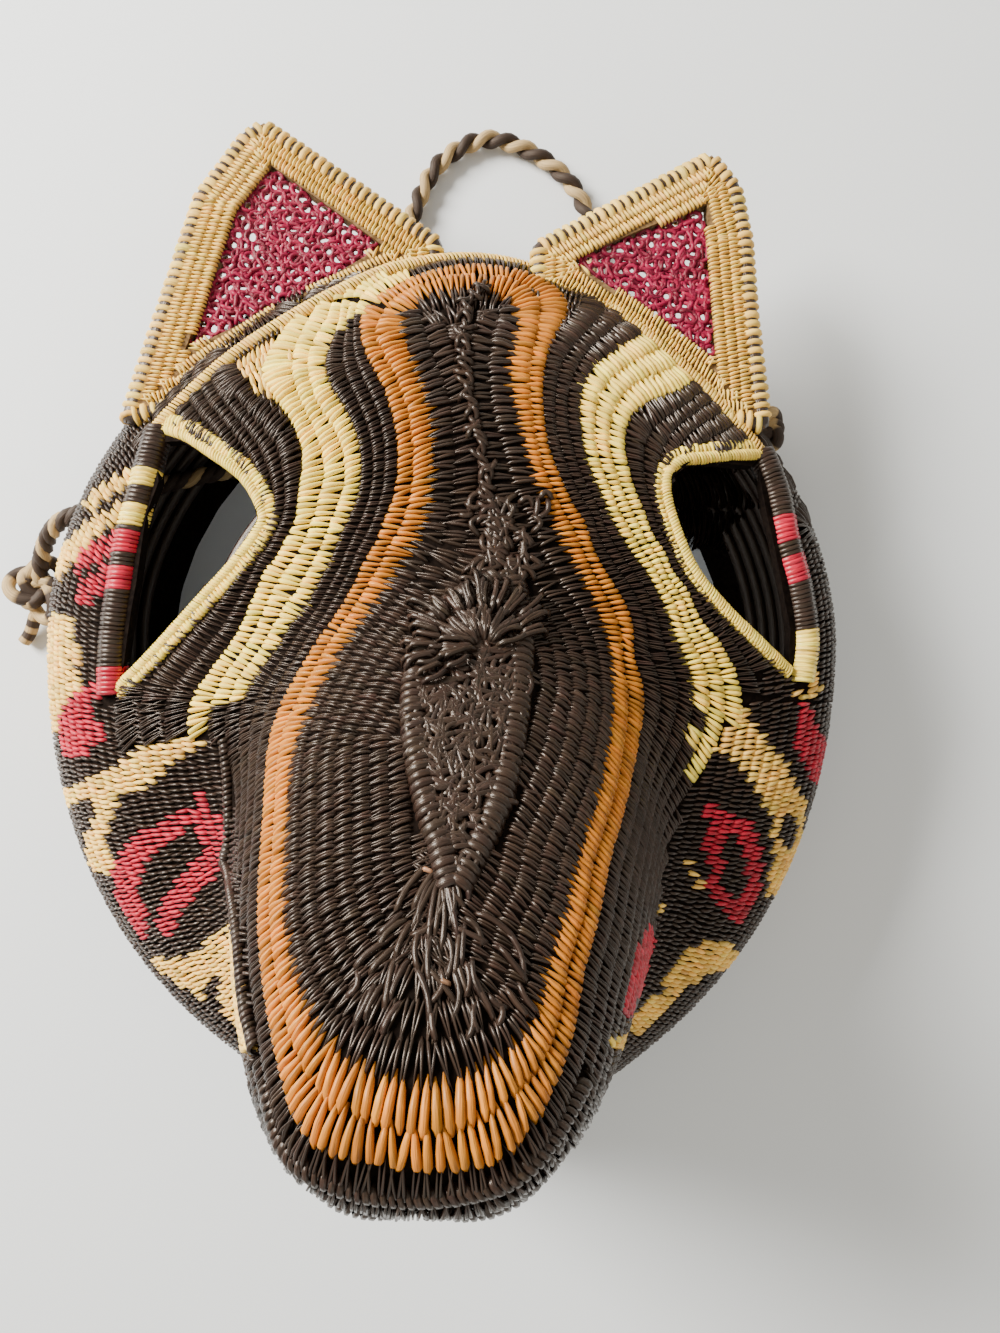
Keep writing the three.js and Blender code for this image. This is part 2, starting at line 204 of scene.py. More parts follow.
# Seams, lips, fans and knots, as pixels
LEFT_SEAM = [(225, 738), (230, 790), (231, 840), (228, 865), (236, 900), (241, 940), (247, 1000),
             (258, 1050)]
SEAM_STRAND = [(489, 288), (468, 306), (464, 350), (470, 400), (479, 440), (487, 480), (491, 515),
               (497, 545)]
UPPER_LIP = [(268, 1085), (285, 1147), (318, 1176), (360, 1192), (420, 1198), (480, 1190), (530, 1165),
             (560, 1125), (585, 1080)]
JAW_LOBES = [[(312, 1176), (345, 1196), (385, 1208), (416, 1210)],
             [(426, 1208), (462, 1207), (505, 1197), (540, 1170)]]
UPPER_FAN_MIDDLE = np.array([481, 654])
LOWER_FAN_TOP = np.array([441, 866])
PALE_KNOTS = np.array([(428, 872), (460, 872), (445, 983), (494, 548)])
TANGLE_COLUMN = 505
TANGLE_SPREAD = 16
TANGLE_ROWS = (500, 600)
TANGLE_COUNT = 90

# Outlines in the plan, in millimetres
LEFT_EYE = [(-62, 35), (-56, 35), (-50, 32), (-45, 29), (-41, 26), (-38, 22), (-37, 19), (-38, 16),
            (-42, 10), (-49, 2), (-59, -9), (-66, -17), (-65, -12), (-64, -3), (-63, 5), (-62, 19),
            (-60, 26)]
RIGHT_EYE = [(68, 38), (66, 36), (53, 35), (50, 34), (47, 30), (46.5, 26), (48, 21), (53, 11), (57, 6),
             (61, 3), (69, -3), (75, -6), (75, 1), (73, 9), (71, 18), (69, 26), (68, 33)]
LEFT_TRIM = [(-66.5, -18), (-58.2, -10), (-48.1, 1.2), (-41.2, 9.1), (-37, 15.3), (-36, 19.5),
             (-40.5, 26.8), (-49.8, 33.2), (-55.6, 36.5), (-62.5, 38.5)]
RIGHT_TRIM = [(75, -8), (66.3, -1.3), (58.8, 4.9), (51.8, 12.6), (46.8, 24), (46, 31), (49.3, 35),
              (55, 36.4), (68.5, 39.4)]
LEFT_BAR = [(-62, 38), (-64, 24), (-66, 13), (-67, 3), (-68, -8), (-68, -19)]
RIGHT_BAR = [(69, 40), (72, 31), (74, 20), (77, 10), (79, -1), (78, -10)]
ARCH = [(-63, 37), (-59, 42), (-47, 54), (-35, 63), (-23, 71), (-12, 77), (7, 81), (25, 77), (40, 66),
        (54, 54), (69, 39)]
LEFT_RIDGE = [(12, 8), (1, -1), (-2, -13), (-1, -23), (2, -33), (5, -40), (7, -46)]
RIGHT_RIDGE = [(15, 8), (17, 0), (17, -12), (16, -23), (14, -33), (11, -40), (8, -46)]
TRIM_RADIUS = 1.2
ARCH_RADIUS = 1.5
BAR_RADIUS = 2.8
RIDGE_RADIUS = 2.4
RIM_ROLL_Z = 1.75

# Ears
LEFT_EAR = [(-45, 110.5), (-49, 107.5), (-58.5, 93), (-62.5, 77), (-67, 56), (-70.5, 40), (-56, 44),
            (-32, 62), (-4, 76), (-4, 84)]
RIGHT_EAR = [(56, 107.5), (61.5, 101), (64.5, 89), (66.5, 69), (69, 45), (56, 46), (40, 58), (17, 74),
             (17, 84)]
LEFT_LACE = [(-42.5, 100), (-50.5, 88), (-54, 72), (-58.5, 56.5), (-35, 69.5), (-16.5, 82.5)]
RIGHT_LACE = [(55, 95.5), (56.5, 78), (58, 59), (39, 72), (25, 81), (40, 88.5)]
EAR_TOP = 41.0
EAR_FROM_Y = 40.0
EAR_LEAN = -0.1
EAR_THICKNESS = 4.0
EAR_UP = np.array([0.0, 0.1, 1.0])
EAR_STITCH_HALF = 1.26

# Routes of the free cords
STRAP_ROUTE = [
    (-104, 6, 7), (-101, 14, 12), (-95, 20, 18), (-88, 23, 20), (-79, 27, 19), (-68, 32, 15),
    (-54, 37, 9), (-38, 40, 4.5), (-20, 42, 2.8), (0, 43, 2.5), (20, 43, 2.5), (38, 43, 4),
    (52, 45, 3.4), (60, 46.5, 7), (65, 47.5, 13), (69, 49, 16.5), (75, 51, 17),
]
LOOP_ROUTE = [
    (-13, 74, 14), (-15, 84, 9), (-16, 95, 4.5), (-14, 106, 2.8), (-8, 119, 2.6), (4, 126, 2.6),
    (18, 122, 2.6), (28, 113, 2.8), (32, 101, 3.4), (31, 88, 8), (29, 74, 14),
]
STRAP_RADIUS = 2.2
LOOP_RADIUS = 2.3
LEFT_KNOT = (-104.0, 5.0, 7.4)
RIGHT_KNOT = (75.5, 51.0, 17.0)
LEFT_KNOT_SIZE = (7.2, 8.2, 4.4)
RIGHT_KNOT_SIZE = (3.4, 4.4, 2.8)
LEFT_KNOT_END = [(-106, -1, 4), (-108, -6, 2.4), (-110, -9, 2.0)]

# One source of chance, always drawn from in the same order
random = np.random.default_rng(7)


def unit(vectors):
    return vectors / np.maximum(np.linalg.norm(vectors, axis=-1, keepdims=True), 1e-9)


def dome_field(x, y, z):
    """Negative inside the face's dome, in about millimetres."""
    f = FACE
    upper = y > f["middle_y"]
    length = np.where(upper, f["upper"], f["lower"])
    power = np.where(upper, f["upper_power"], f["lower_power"])
    across = np.abs(x / f["half_width"]) ** power
    along = np.abs((y - f["middle_y"]) / length) ** power
    plan = (across + along) ** (1 / power)
    above = np.clip((z - f["bulge_z"]) / f["crown"], 0, None)
    below = np.clip((f["bulge_z"] - z) / f["bulge_z"], 0, None)
    drawn_in = np.maximum(1 - f["narrowing"] * below ** f["narrowing_power"], 0.05)
    q = f["crown_power"]
    return (((plan / drawn_in) ** q + above ** q) ** (1 / q) - 1) * f["size"]


def snout_field(x, y, z):
    """Negative inside the snout, in about millimetres."""
    s = SNOUT
    rise = np.clip((z - s["root_z"]) / s["run_z"], s["lowest"], 1.2)
    foot = np.clip((s["foot_z"] - z) / s["foot_z"], 0, 1)
    drawn_in = 1 - s["foot"] * foot ** 2
    back = s["back"] + s["back_run"] * rise
    front = s["front"] + s["front_run"] * rise
    half_width = s["half_width"] - s["narrowing"] * rise - s["late"] * np.clip(rise, 0, None) ** 2
    across = np.abs((x - s["middle_x"]) / (half_width * drawn_in)) ** s["power"]
    along = np.abs((y - (back + front) / 2) / ((back - front) / 2 * drawn_in)) ** s["power"]
    droop = s["droop"] * np.clip(s["droop_from"] - y, 0, None) ** 2
    height = np.clip((z + droop - s["base_z"]) / (s["tip_z"] - s["base_z"]), 0, None)
    q = s["box_power"]
    return (((across + along) ** (q / s["power"]) + height ** q) ** (1 / q) - 1) * s["size"]


def form_field(points):
    """The dome and the snout run together."""
    x, y, z = points[..., 0], points[..., 1], points[..., 2]
    a, b = dome_field(x, y, z), snout_field(x, y, z)
    least = np.minimum(a, b)
    return least - BLEND * np.log(np.exp((least - a) / BLEND) + np.exp((least - b) / BLEND))


def form_slope(points, step=0.1):
    slopes = []
    for axis in range(3):
        move = np.zeros(3)
        move[axis] = step
        slopes.append((form_field(points + move) - form_field(points - move)) / (2 * step))
    return np.stack(slopes, -1)


def settle(points, lift=0.0, rounds=2):
    """Points moved to lift millimetres outside the form, with the outward normals there."""
    for _ in range(rounds):
        slope = form_slope(points)
        size = np.maximum(np.linalg.norm(slope, axis=-1), 0.05)
        distance = form_field(points) / size - lift
        points = points - slope * np.clip(distance, -6, 6)[..., None] / size[..., None]
    return points, unit(slope)


def surface_height(x, y):
    """Height of the form above places in the plan."""
    levels = np.linspace(SEARCH_TOP, 0, 126)
    inside = form_field(np.stack(np.broadcast_arrays(x, y, levels[:, None]), -1)) < 0
    first = np.argmax(inside, axis=0)
    high = levels[np.maximum(first - 1, 0)]
    low = levels[first]
    for _ in range(12):
        middle = (low + high) / 2
        is_in = form_field(np.stack([x, y, middle], -1)) < 0
        low, high = np.where(is_in, middle, low), np.where(is_in, high, middle)
    return (low + high) / 2


def turned(plan, turn):
    """Places or ways in the plan, turned to the left by one angle or by their own."""
    x, y = plan[:, 0], plan[:, 1]
    c, s = np.cos(turn), np.sin(turn)
    return np.column_stack([x * c - y * s, x * s + y * c])


def pixel_rays(pixels):
    """Lines of sight through the photograph's pixels, one unit down."""
    pixels = np.asarray(pixels, float)
    right = (pixels[:, 0] - FRAME_WIDTH / 2) / FOCAL_PIXELS
    up = -(pixels[:, 1] - FRAME_HEIGHT / 2) / FOCAL_PIXELS
    flat = turned(np.column_stack([right, up]), CAMERA_TURN)
    return np.column_stack([flat, -np.ones(len(pixels))])


def on_form(pixels):
    """Where lines of sight through the photograph's pixels first meet the form."""
    rays = pixel_rays(pixels)
    levels = np.linspace(SEARCH_TOP, 2, 164)
    points = CAMERA_PLACE + rays[None] * (CAMERA_PLACE[2] - levels)[:, None, None]
    inside = form_field(points) < 0
    first = np.where(inside.any(0), np.argmax(inside, 0), len(levels) - 1)
    low, high = levels[first], levels[np.maximum(first - 1, 0)]
    for _ in range(10):
        middle = (low + high) / 2
        is_in = form_field(CAMERA_PLACE + rays * (CAMERA_PLACE[2] - middle)[:, None]) < 0
        low, high = np.where(is_in, middle, low), np.where(is_in, high, middle)
    return CAMERA_PLACE + rays * (CAMERA_PLACE[2] - (low + high) / 2)[:, None]


def chart(points):
    """Flat map of the whole surface: compass direction, and angle down from overhead as radius."""
    d = np.asarray(points, float) - CHART_CENTRE
    angle = np.degrees(np.arctan2(np.hypot(d[..., 0], d[..., 1]), d[..., 2]))
    turn = np.arctan2(d[..., 1], d[..., 0])
    return np.stack([angle * np.cos(turn), angle * np.sin(turn)], -1)


def in_outline(points, outline):
    inside = np.zeros(len(points), bool)
    x, y = points[:, 0], points[:, 1]
    for (x0, y0), (x1, y1) in zip(outline, np.roll(outline, -1, axis=0)):
        crosses = (y0 > y) != (y1 > y)
        at = x0 + (y - y0) * (x1 - x0) / (y1 - y0 if y1 != y0 else 1e-9)
        inside ^= crosses & (x < at)
    return inside


def curve_through(points, count, closed=False):
    """Evenly spaced points along a smooth curve through the given ones."""
    p = np.asarray(points, float)
    if closed:
        padded = np.concatenate([p[-1:], p, p[:2]])
    else:
        padded = np.concatenate([2 * p[:1] - p[1:2], p, 2 * p[-1:] - p[-2:-1]])
    t = np.linspace(0, 1, 24, endpoint=False)[:, None]
    pieces = []
    for a, b, c, d in zip(padded[:-3], padded[1:-2], padded[2:-1], padded[3:]):
        pieces.append(0.5 * (2 * b + (c - a) * t + (2 * a - 5 * b + 4 * c - d) * t ** 2
                             + (3 * b - a - 3 * c + d) * t ** 3))
    dense = np.concatenate(pieces + [padded[-2:-1]])
    return resample(dense, count, closed)


def run_along(points):
    """Distance along a line to each of its points."""
    return np.concatenate([[0], np.cumsum(np.linalg.norm(np.diff(points, axis=0), axis=1))])


def resample(dense, count, closed=False):
    run = run_along(dense)
    at = np.linspace(0, run[-1], count, endpoint=not closed)
    return np.stack([np.interp(at, run, dense[:, i]) for i in range(dense.shape[1])], -1)


def curve_length(points):
    return float(np.linalg.norm(np.diff(points, axis=0), axis=1).sum())


def tangents(points, closed=False):
    if closed:
        return unit(np.roll(points, -1, axis=0) - np.roll(points, 1, axis=0))
    return unit(np.gradient(points, axis=0))


def across_and_over(way, normals):
    """Directions square to a line: sideways, and away from the surface."""
    side = unit(np.cross(way, normals))
    return side, unit(np.cross(side, way))


def closed_line(points):
    return np.concatenate([points, points[:1]])


def walk(points, headings, lengths, step=0.9):
    """Points moved straight ahead over the form, each by its own length."""
    count = max(int(math.ceil(np.abs(lengths).max() / step)), 1)
    for _ in range(count):
        points = points + headings * (lengths / count)[:, None]
        points, normals = settle(points, rounds=1)
        headings = unit(headings - normals * (headings * normals).sum(-1, keepdims=True))
    return points, headings, normals


def nearest_distance(points, others, block=400):
    nearest = np.empty(len(points))
    for i in range(0, len(points), block):
        part = points[i:i + block]
        squares = (part ** 2).sum(1)[:, None] + (others ** 2).sum(1)[None] - 2 * part @ others.T
        nearest[i:i + block] = np.sqrt(np.maximum(squares.min(1), 0))
    return nearest


def weave_rows(start, headings, pitch, count, slack):
    """Rows of coils side by side from a closed line: middle of each row, heading, normal, alive."""
    points, ways = start.copy(), headings.copy()
    alive = np.ones(len(start), bool)
    rows = []
    for k in range(count):
        lengths = pitch * (0.5 if k == 0 else 1.0)
        points, ways, normals = walk(points, ways, lengths)
        own = np.linalg.norm(points - start, axis=1)
        alive = alive & (nearest_distance(points, start[::2]) > own - slack - 0.03 * own)
        if alive.sum() < 3:
            break
        rows.append((points.copy(), ways.copy(), normals, alive.copy()))
    return rows


def thin_plate(gaps):
    return gaps ** 2 * np.log(gaps + 1e-9)


def fit_levels(places, values, softness=0.01):
    """A smooth function over the flat map that takes the given values at the given places."""
    gaps = np.linalg.norm(places[:, None] - places[None], axis=-1)
    side = np.column_stack([np.ones(len(places)), places])
    system = np.block([[thin_plate(gaps) + softness * np.eye(len(places)), side],
                       [side.T, np.zeros((3, 3))]])
    weights = np.linalg.solve(system, np.concatenate([values, np.zeros(3)]))
    return places, weights


def level_map(points):
    return chart(points) / 20.0


def levels_at(fit, points):
    places, weights = fit
    flat = level_map(points)
    gaps = np.linalg.norm(flat[:, None] - places[None], axis=-1)
    return thin_plate(gaps) @ weights[:-3] + np.column_stack([np.ones(len(flat)), flat]) @ weights[-3:]


def guided_rows(start, outward, fit, count, steps=4, reach=0.3, widest=7.5):
    """Rows of coils from a closed line outwards, where the fitted levels are halfway between wholes."""
    points, ways = start.copy(), outward.copy()
    points, normals = settle(points)
    rows = []
    level = 0.0
    for k in range(count):
        while level < k + 0.5 - 1e-6:
            side = unit(np.cross(normals, ways))
            rise = levels_at(fit, points + ways * reach) - levels_at(fit, points - ways * reach)
            turn = levels_at(fit, points + side * reach) - levels_at(fit, points - side * reach)
            slope = (ways * rise[:, None] + side * turn[:, None]) / (2 * reach)
            size = np.maximum(np.linalg.norm(slope, axis=1), 1.0 / widest)
            ways = unit(slope)
            missing = np.clip(level + 1.0 / steps - levels_at(fit, points), 0, 2.0 / steps)
            points, normals = settle(points + ways * (missing / size)[:, None], rounds=1)
            ways = unit(ways - normals * (ways * normals).sum(1, keepdims=True))
            level += 1.0 / steps
        reached = np.abs(levels_at(fit, points) - level) < 0.4
        rows.append((points.copy(), ways.copy(), normals, reached, 1.0 / size))
    return rows


def stitch_sites(rows, pitch, spacing):
    """Places of the stitches along every row, evenly spaced, each row half a stitch on."""
    sites = []
    for k, (points, ways, normals, alive, *own_pitch) in enumerate(rows):
        wide = own_pitch[0] if own_pitch else pitch
        ring = np.concatenate([np.arange(len(points)), [0]])
        gaps = np.linalg.norm(np.diff(points[ring], axis=0), axis=1) / spacing
        phase = np.concatenate([[0], np.cumsum(gaps)]) + 0.5 * (k % 2)
        marks = np.arange(math.ceil(phase[0]), math.floor(phase[-1]))
        at = np.interp(marks + random.uniform(-0.12, 0.12, len(marks)), phase, np.arange(len(ring)))
        low = np.clip(np.floor(at).astype(int), 0, len(points) - 1)
        high = (low + 1) % len(points)
        share = (at - low)[:, None]
        keep = alive[low] & alive[high]
        mixed = [values[low] * (1 - share) + values[high] * share for values in (points, ways, normals)]
        sites.append(dict(
            place=mixed[0][keep], way=unit(mixed[1])[keep], normal=unit(mixed[2])[keep],
            pitch=wide[low][keep], spacing=spacing[low][keep], row=np.full(keep.sum(), k)))
    return {key: np.concatenate([site[key] for site in sites]) for key in sites[0]}


def subset(sites, mask):
    return {key: values[mask] for key, values in sites.items()}


def to_metres(points):
    return (np.asarray(points, float) + CENTRING) / 1000.0


def make_mesh(name, vertices, quads, material, tints, uvs):
    """One new piece of the mask; its lowest strands are pressed flat by the table."""
    mesh = bpy.data.meshes.new(name)
    vertices[:, 2] = np.maximum(vertices[:, 2], TABLE_GAP)
    mesh.vertices.add(len(vertices))
    mesh.vertices.foreach_set("co", to_metres(vertices).astype(np.float32).ravel())
    mesh.loops.add(quads.size)
    mesh.loops.foreach_set("vertex_index", quads.astype(np.int32).ravel())
    mesh.polygons.add(len(quads))
    mesh.polygons.foreach_set("loop_start", np.arange(0, quads.size, quads.shape[1], dtype=np.int32))
    mesh.polygons.foreach_set("use_smooth", np.ones(len(quads), bool))
    mesh.update(calc_edges=True)
    layer = mesh.color_attributes.new("tint", "FLOAT_COLOR", "POINT")
    rgba = np.concatenate([tints, np.ones((len(tints), 1))], 1)
    layer.data.foreach_set("color", rgba.astype(np.float32).ravel())
    layer = mesh.uv_layers.new(name="fibre")
    layer.data.foreach_set("uv", uvs[quads.ravel()].astype(np.float32).ravel())
    mesh.materials.append(material)
    piece = bpy.data.objects.new(name, mesh)
    bpy.context.scene.collection.objects.link(piece)
    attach(piece, "root")
    return piece


# Section of a strand: places across it, heights there, and painted shade that darkens its sides; painted
# shade at its start and end, where it dives under
ACROSS = np.array([-1.0, -0.55, 0.55, 1.0])
ARCH_OVER = np.array([-0.9, 0.75, 0.75, -0.9])
SECTION_PAINTED_SHADE = np.array([0.8, 1, 1, 0.8])
START_PAINTED_SHADE = 0.62
END_PAINTED_SHADE = 0.72


def strand_mesh(name, lines, normals, half_widths, thickness, tints, material):
    """One mesh of many short strands: lines is strands by rings by 3; widths and thickness per ring."""
    count, rings = lines.shape[:2]
    ways = unit(np.gradient(lines, axis=1))
    sides = unit(np.cross(ways, normals))
    vertices = (lines[:, :, None] + sides[:, :, None] * (half_widths[..., None] * ACROSS)[..., None]
                + normals[:, :, None] * (thickness[..., None] * ARCH_OVER)[..., None])
    run = np.concatenate([np.zeros((count, 1)),
                          np.cumsum(np.linalg.norm(np.diff(lines, axis=1), axis=2), axis=1)], 1)
    offset = random.uniform(0, 50, (count, 2))
    u = half_widths[..., None] * ACROSS + offset[:, None, :1]
    v = np.broadcast_to((run + offset[:, 1:])[..., None], u.shape)
    # Painted shade: every strand's colour is darkened at both ends, where it dives under the coils, and
    # along its two sides
    shade = np.ones(rings)
    shade[0] = START_PAINTED_SHADE
    shade[-1] = END_PAINTED_SHADE
    colours = tints[:, None, None, :] * shade[None, :, None, None] * SECTION_PAINTED_SHADE[:, None]
    corners = [r * 4 + a for r in range(rings - 1) for a in range(3)]
    one = np.array([(i, i + 1, i + 5, i + 4) for i in corners])
    quads = (np.arange(count)[:, None, None] * rings * 4 + one[None]).reshape(-1, 4)
    make_mesh(name, vertices.reshape(-1, 3), quads, material, colours.reshape(-1, 3),
              np.stack([u, v], -1).reshape(-1, 2))


# Form of a stitch: places along it, heights and widths there
STITCH_AT = np.array([-1.55, -0.8, 0.0, 0.6, 1.0])
STITCH_LIFT = np.array([-0.35, 0.28, 0.62, 0.50, -0.50])
STITCH_WIDTH = np.array([0.12, 0.58, 0.95, 1.0, 0.50])
BROAD_STITCH_WIDTH = np.array([0.35, 0.85, 1.05, 1.1, 0.72])


def twin_strands(sites, tints, width, lean):
    """Each stitch as two thinner strands side by side, parting a little."""
    side = unit(np.cross(sites["normal"], sites["way"]))
    apart = (width * 0.56)[:, None]
    pair = {key: np.concatenate([values, values]) for key, values in sites.items()}
    pair["place"] = np.concatenate([sites["place"] + side * apart, sites["place"] - side * apart])
    part = random.uniform(0.0, 0.12, len(lean))
    tone = random.normal(1, 0.14, (len(tints) * 2, 1)).clip(0.6, 1.5)
    return (pair, np.concatenate([tints, tints]) * tone, np.concatenate([width, width]) * 0.60,
            np.concatenate([lean + part, lean - part]))


def stitches(name, sites, tints, material, width, lean, reach=0.62, lift=1.0, thickness=0.42):
    """Stitches over the coils: pointed where they start and rounded where they end."""
    count = len(sites["place"])
    side = unit(np.cross(sites["normal"], sites["way"]))
    turn = (lean + random.normal(0, 0.085, count))[:, None]
    way = unit(sites["way"] * np.cos(turn) + side * np.sin(turn))
    half = sites["pitch"] * reach * random.uniform(0.94, 1.08, count)
    large = np.clip((sites["pitch"] - 4.5) / 3.0, 0, 1)[:, None]
    at = np.where(STITCH_AT < -0.5, STITCH_AT * (1 - 0.42 * large), STITCH_AT)
    lines = sites["place"][:, None] + way[:, None] * (half[:, None] * at)[..., None]
    flat, normals = settle(lines.reshape(-1, 3), rounds=2)
    normals = normals.reshape(lines.shape)
    size = np.minimum((sites["pitch"] / ROW_PITCH) ** 0.5, 1.2)
    rise = STITCH_LIFT * (lift * size * random.uniform(0.85, 1.2, count))[:, None]
    lines = flat.reshape(lines.shape) + normals * rise[..., None]
    shape = STITCH_WIDTH * (1 - large) + BROAD_STITCH_WIDTH * large
    widths = (width * random.uniform(0.85, 1.1, count))[:, None] * shape
    thick = np.ones(widths.shape) * thickness * size[:, None]
    strand_mesh(name, lines, normals, widths, thick, tints, material)


def varied(colour, count, spread=0.14):
    base = np.array(colour)[None] * random.normal(1, spread, (count, 1)).clip(0.6, 1.4)
    return base * random.normal(1, 0.035, (count, 3))


# Materials
def set_values(node, values):
    for label, value in values.items():
        node.inputs[label].default_value = value


def new_material(name, values):
    material = bpy.data.materials.new(name)
    material.use_nodes = True
    shader = material.node_tree.nodes["Principled BSDF"]
    set_values(shader, values)
    return material, shader


def add_node(material, kind, values):
    node = material.node_tree.nodes.new(kind)
    set_values(node, values)
    return node


def fibre_material(name, roughness, coat, contrast, specular=0.4, bump=0.00025, ridges=4.2):
    """Split palm fibre: its own tint, with fine ridges and streaks that run along each strand."""
    material, shader = new_material(name, {
        "Roughness": roughness, "Specular IOR Level": specular, "Coat Weight": coat,
        "Coat Roughness": 0.22, "Specular Tint": (1.0, 0.84, 0.68, 1)})
    along = add_node(material, "ShaderNodeUVMap", {})
    along.uv_map = "fibre"
    stretch = add_node(material, "ShaderNodeMapping", {"Scale": (ridges, 0.22, 1.0)})
    noise = add_node(material, "ShaderNodeTexNoise", {"Scale": 1.0, "Detail": 3.0})
    shade = add_node(material, "ShaderNodeMapRange", {
        "From Min": 0.3, "From Max": 0.7, "To Min": 1.0 - contrast, "To Max": 1.0 + contrast})
    tint = add_node(material, "ShaderNodeVertexColor", {})
    tint.layer_name = "tint"
    multiply = add_node(material, "ShaderNodeVectorMath", {})
    multiply.operation = "MULTIPLY"
    relief = add_node(material, "ShaderNodeBump", {"Strength": 0.6, "Distance": bump})
    links = material.node_tree.links
    links.new(along.outputs["UV"], stretch.inputs["Vector"])
    links.new(stretch.outputs["Vector"], noise.inputs["Vector"])
    links.new(noise.outputs["Fac"], shade.inputs["Value"])
    links.new(tint.outputs["Color"], multiply.inputs[0])
    links.new(shade.outputs["Result"], multiply.inputs[1])
    links.new(multiply.outputs["Vector"], shader.inputs["Base Color"])
    links.new(noise.outputs["Fac"], relief.inputs["Height"])
    links.new(relief.outputs["Normal"], shader.inputs["Normal"])
    return material


def core_material(name, low, high):
    """The bundled core of the coils, seen only between stitches: streaks of two colours."""
    material, shader = new_material(name, {
        "Base Color": (*low, 1), "Roughness": 0.9, "Specular IOR Level": 0.05})
    place = add_node(material, "ShaderNodeTexCoord", {})
    streaks = add_node(material, "ShaderNodeTexNoise", {"Scale": 900.0, "Detail": 2.0})
    ramp = add_node(material, "ShaderNodeValToRGB", {})
    for element, position, colour in zip(ramp.color_ramp.elements, (0.35, 0.65), (low, high)):
        element.position = position
        element.color = (*colour, 1)
    links = material.node_tree.links
    links.new(place.outputs["Object"], streaks.inputs["Vector"])
    links.new(streaks.outputs["Fac"], ramp.inputs["Fac"])
    links.new(ramp.outputs["Color"], shader.inputs["Base Color"])
    return material


dark_fibre = fibre_material("dark_fibre", roughness=0.31, coat=0.15, contrast=0.5)
cream_fibre = fibre_material("cream_fibre", roughness=0.55, coat=0.05, contrast=0.16, specular=0.25)
orange_fibre = fibre_material("orange_fibre", roughness=0.48, coat=0.12, contrast=0.32, specular=0.3)
red_fibre = fibre_material("red_fibre", roughness=0.5, coat=0.05, contrast=0.2)
cord_fibre = fibre_material("cord_fibre", roughness=0.62, coat=0.0, contrast=0.3)
# The face's near-black core is partly the core's own dark fibre and partly painted shade in the gaps
# between the stitches
under_layer = core_material("under_layer", (0.004, 0.0022, 0.0015), (0.010, 0.006, 0.004))
pale_under_layer = core_material("pale_under_layer", (0.10, 0.055, 0.022), (0.22, 0.135, 0.06))


# Camera, light and floor
def add_camera():
    data = bpy.data.cameras.new("camera")
    data.sensor_fit = "HORIZONTAL"
    data.sensor_width = SENSOR_WIDTH
    data.lens = SENSOR_WIDTH * FOCAL_PIXELS / FRAME_WIDTH
    camera = bpy.data.objects.new("camera", data)
    camera.location = to_metres(CAMERA_PLACE)
    camera.rotation_euler = (0, 0, CAMERA_TURN)
    bpy.context.scene.collection.objects.link(camera)
    bpy.context.scene.camera = camera


def add_area_light(name, place, aim, size, power, colour):
    """A square lamp that faces a place; the camera doesn't see it."""
    data = bpy.data.lights.new(name, "AREA")
    data.size = size
    data.energy = power
    data.color = colour
    lamp = bpy.data.objects.new(name, data)
    lamp.location = place
    way = np.array(aim, float) - np.array(place, float)
    flat = math.hypot(way[0], way[1])
    lamp.rotation_euler = (math.atan2(flat, -way[2]), 0, math.atan2(way[0], -way[1]) + math.pi)
    lamp.visible_camera = False
    bpy.context.scene.collection.objects.link(lamp)


def add_light():
    world = bpy.data.worlds.new("world")
    world.use_nodes = True
    set_values(world.node_tree.nodes["Background"], {"Color": (1.0, 0.975, 0.915, 1), "Strength": 0.60})
    bpy.context.scene.world = world
    add_area_light("window", (-0.66, 0.36, 0.50), aim=(0, 0, 0.03), size=0.38, power=26.0,
                   colour=(1.0, 0.995, 0.975))
    add_area_light("fill", (0.3, -0.9, 0.9), aim=(0, 0, 0.05), size=1.0, power=3.0,
                   colour=(1.0, 0.97, 0.92))
    add_area_light("light_through_weave", (0.016, 0.0, 0.05), aim=(0.02, 0, 0), size=0.05, power=0.016,
                   colour=(0.9, 0.95, 1.0))


def add_floor():
    mesh = bpy.data.meshes.new("floor")
    half = 1.6
    corners = [(-half, -half, 0), (half, -half, 0), (half, half, 0), (-half, half, 0)]
    mesh.from_pydata(corners, [], [(0, 1, 2, 3)])
    mesh.materials.append(new_material("table_top", {
        "Base Color": (0.84, 0.85, 0.835, 1), "Roughness": 0.7, "Specular IOR Level": 0.3})[0])
    floor = bpy.data.objects.new("floor", mesh)
    bpy.context.scene.collection.objects.link(floor)


# Tubes, ropes and cords
def tube_rings(path, radius, sides):
    """Rings of points round a path."""
    side, top = across_and_over(tangents(path), UP)
    turn = np.linspace(0, 2 * math.pi, sides, endpoint=False)
    out = side[:, None] * np.cos(turn)[None, :, None] + top[:, None] * np.sin(turn)[None, :, None]
    return path[:, None] + out * radius.reshape(-1, 1, 1)


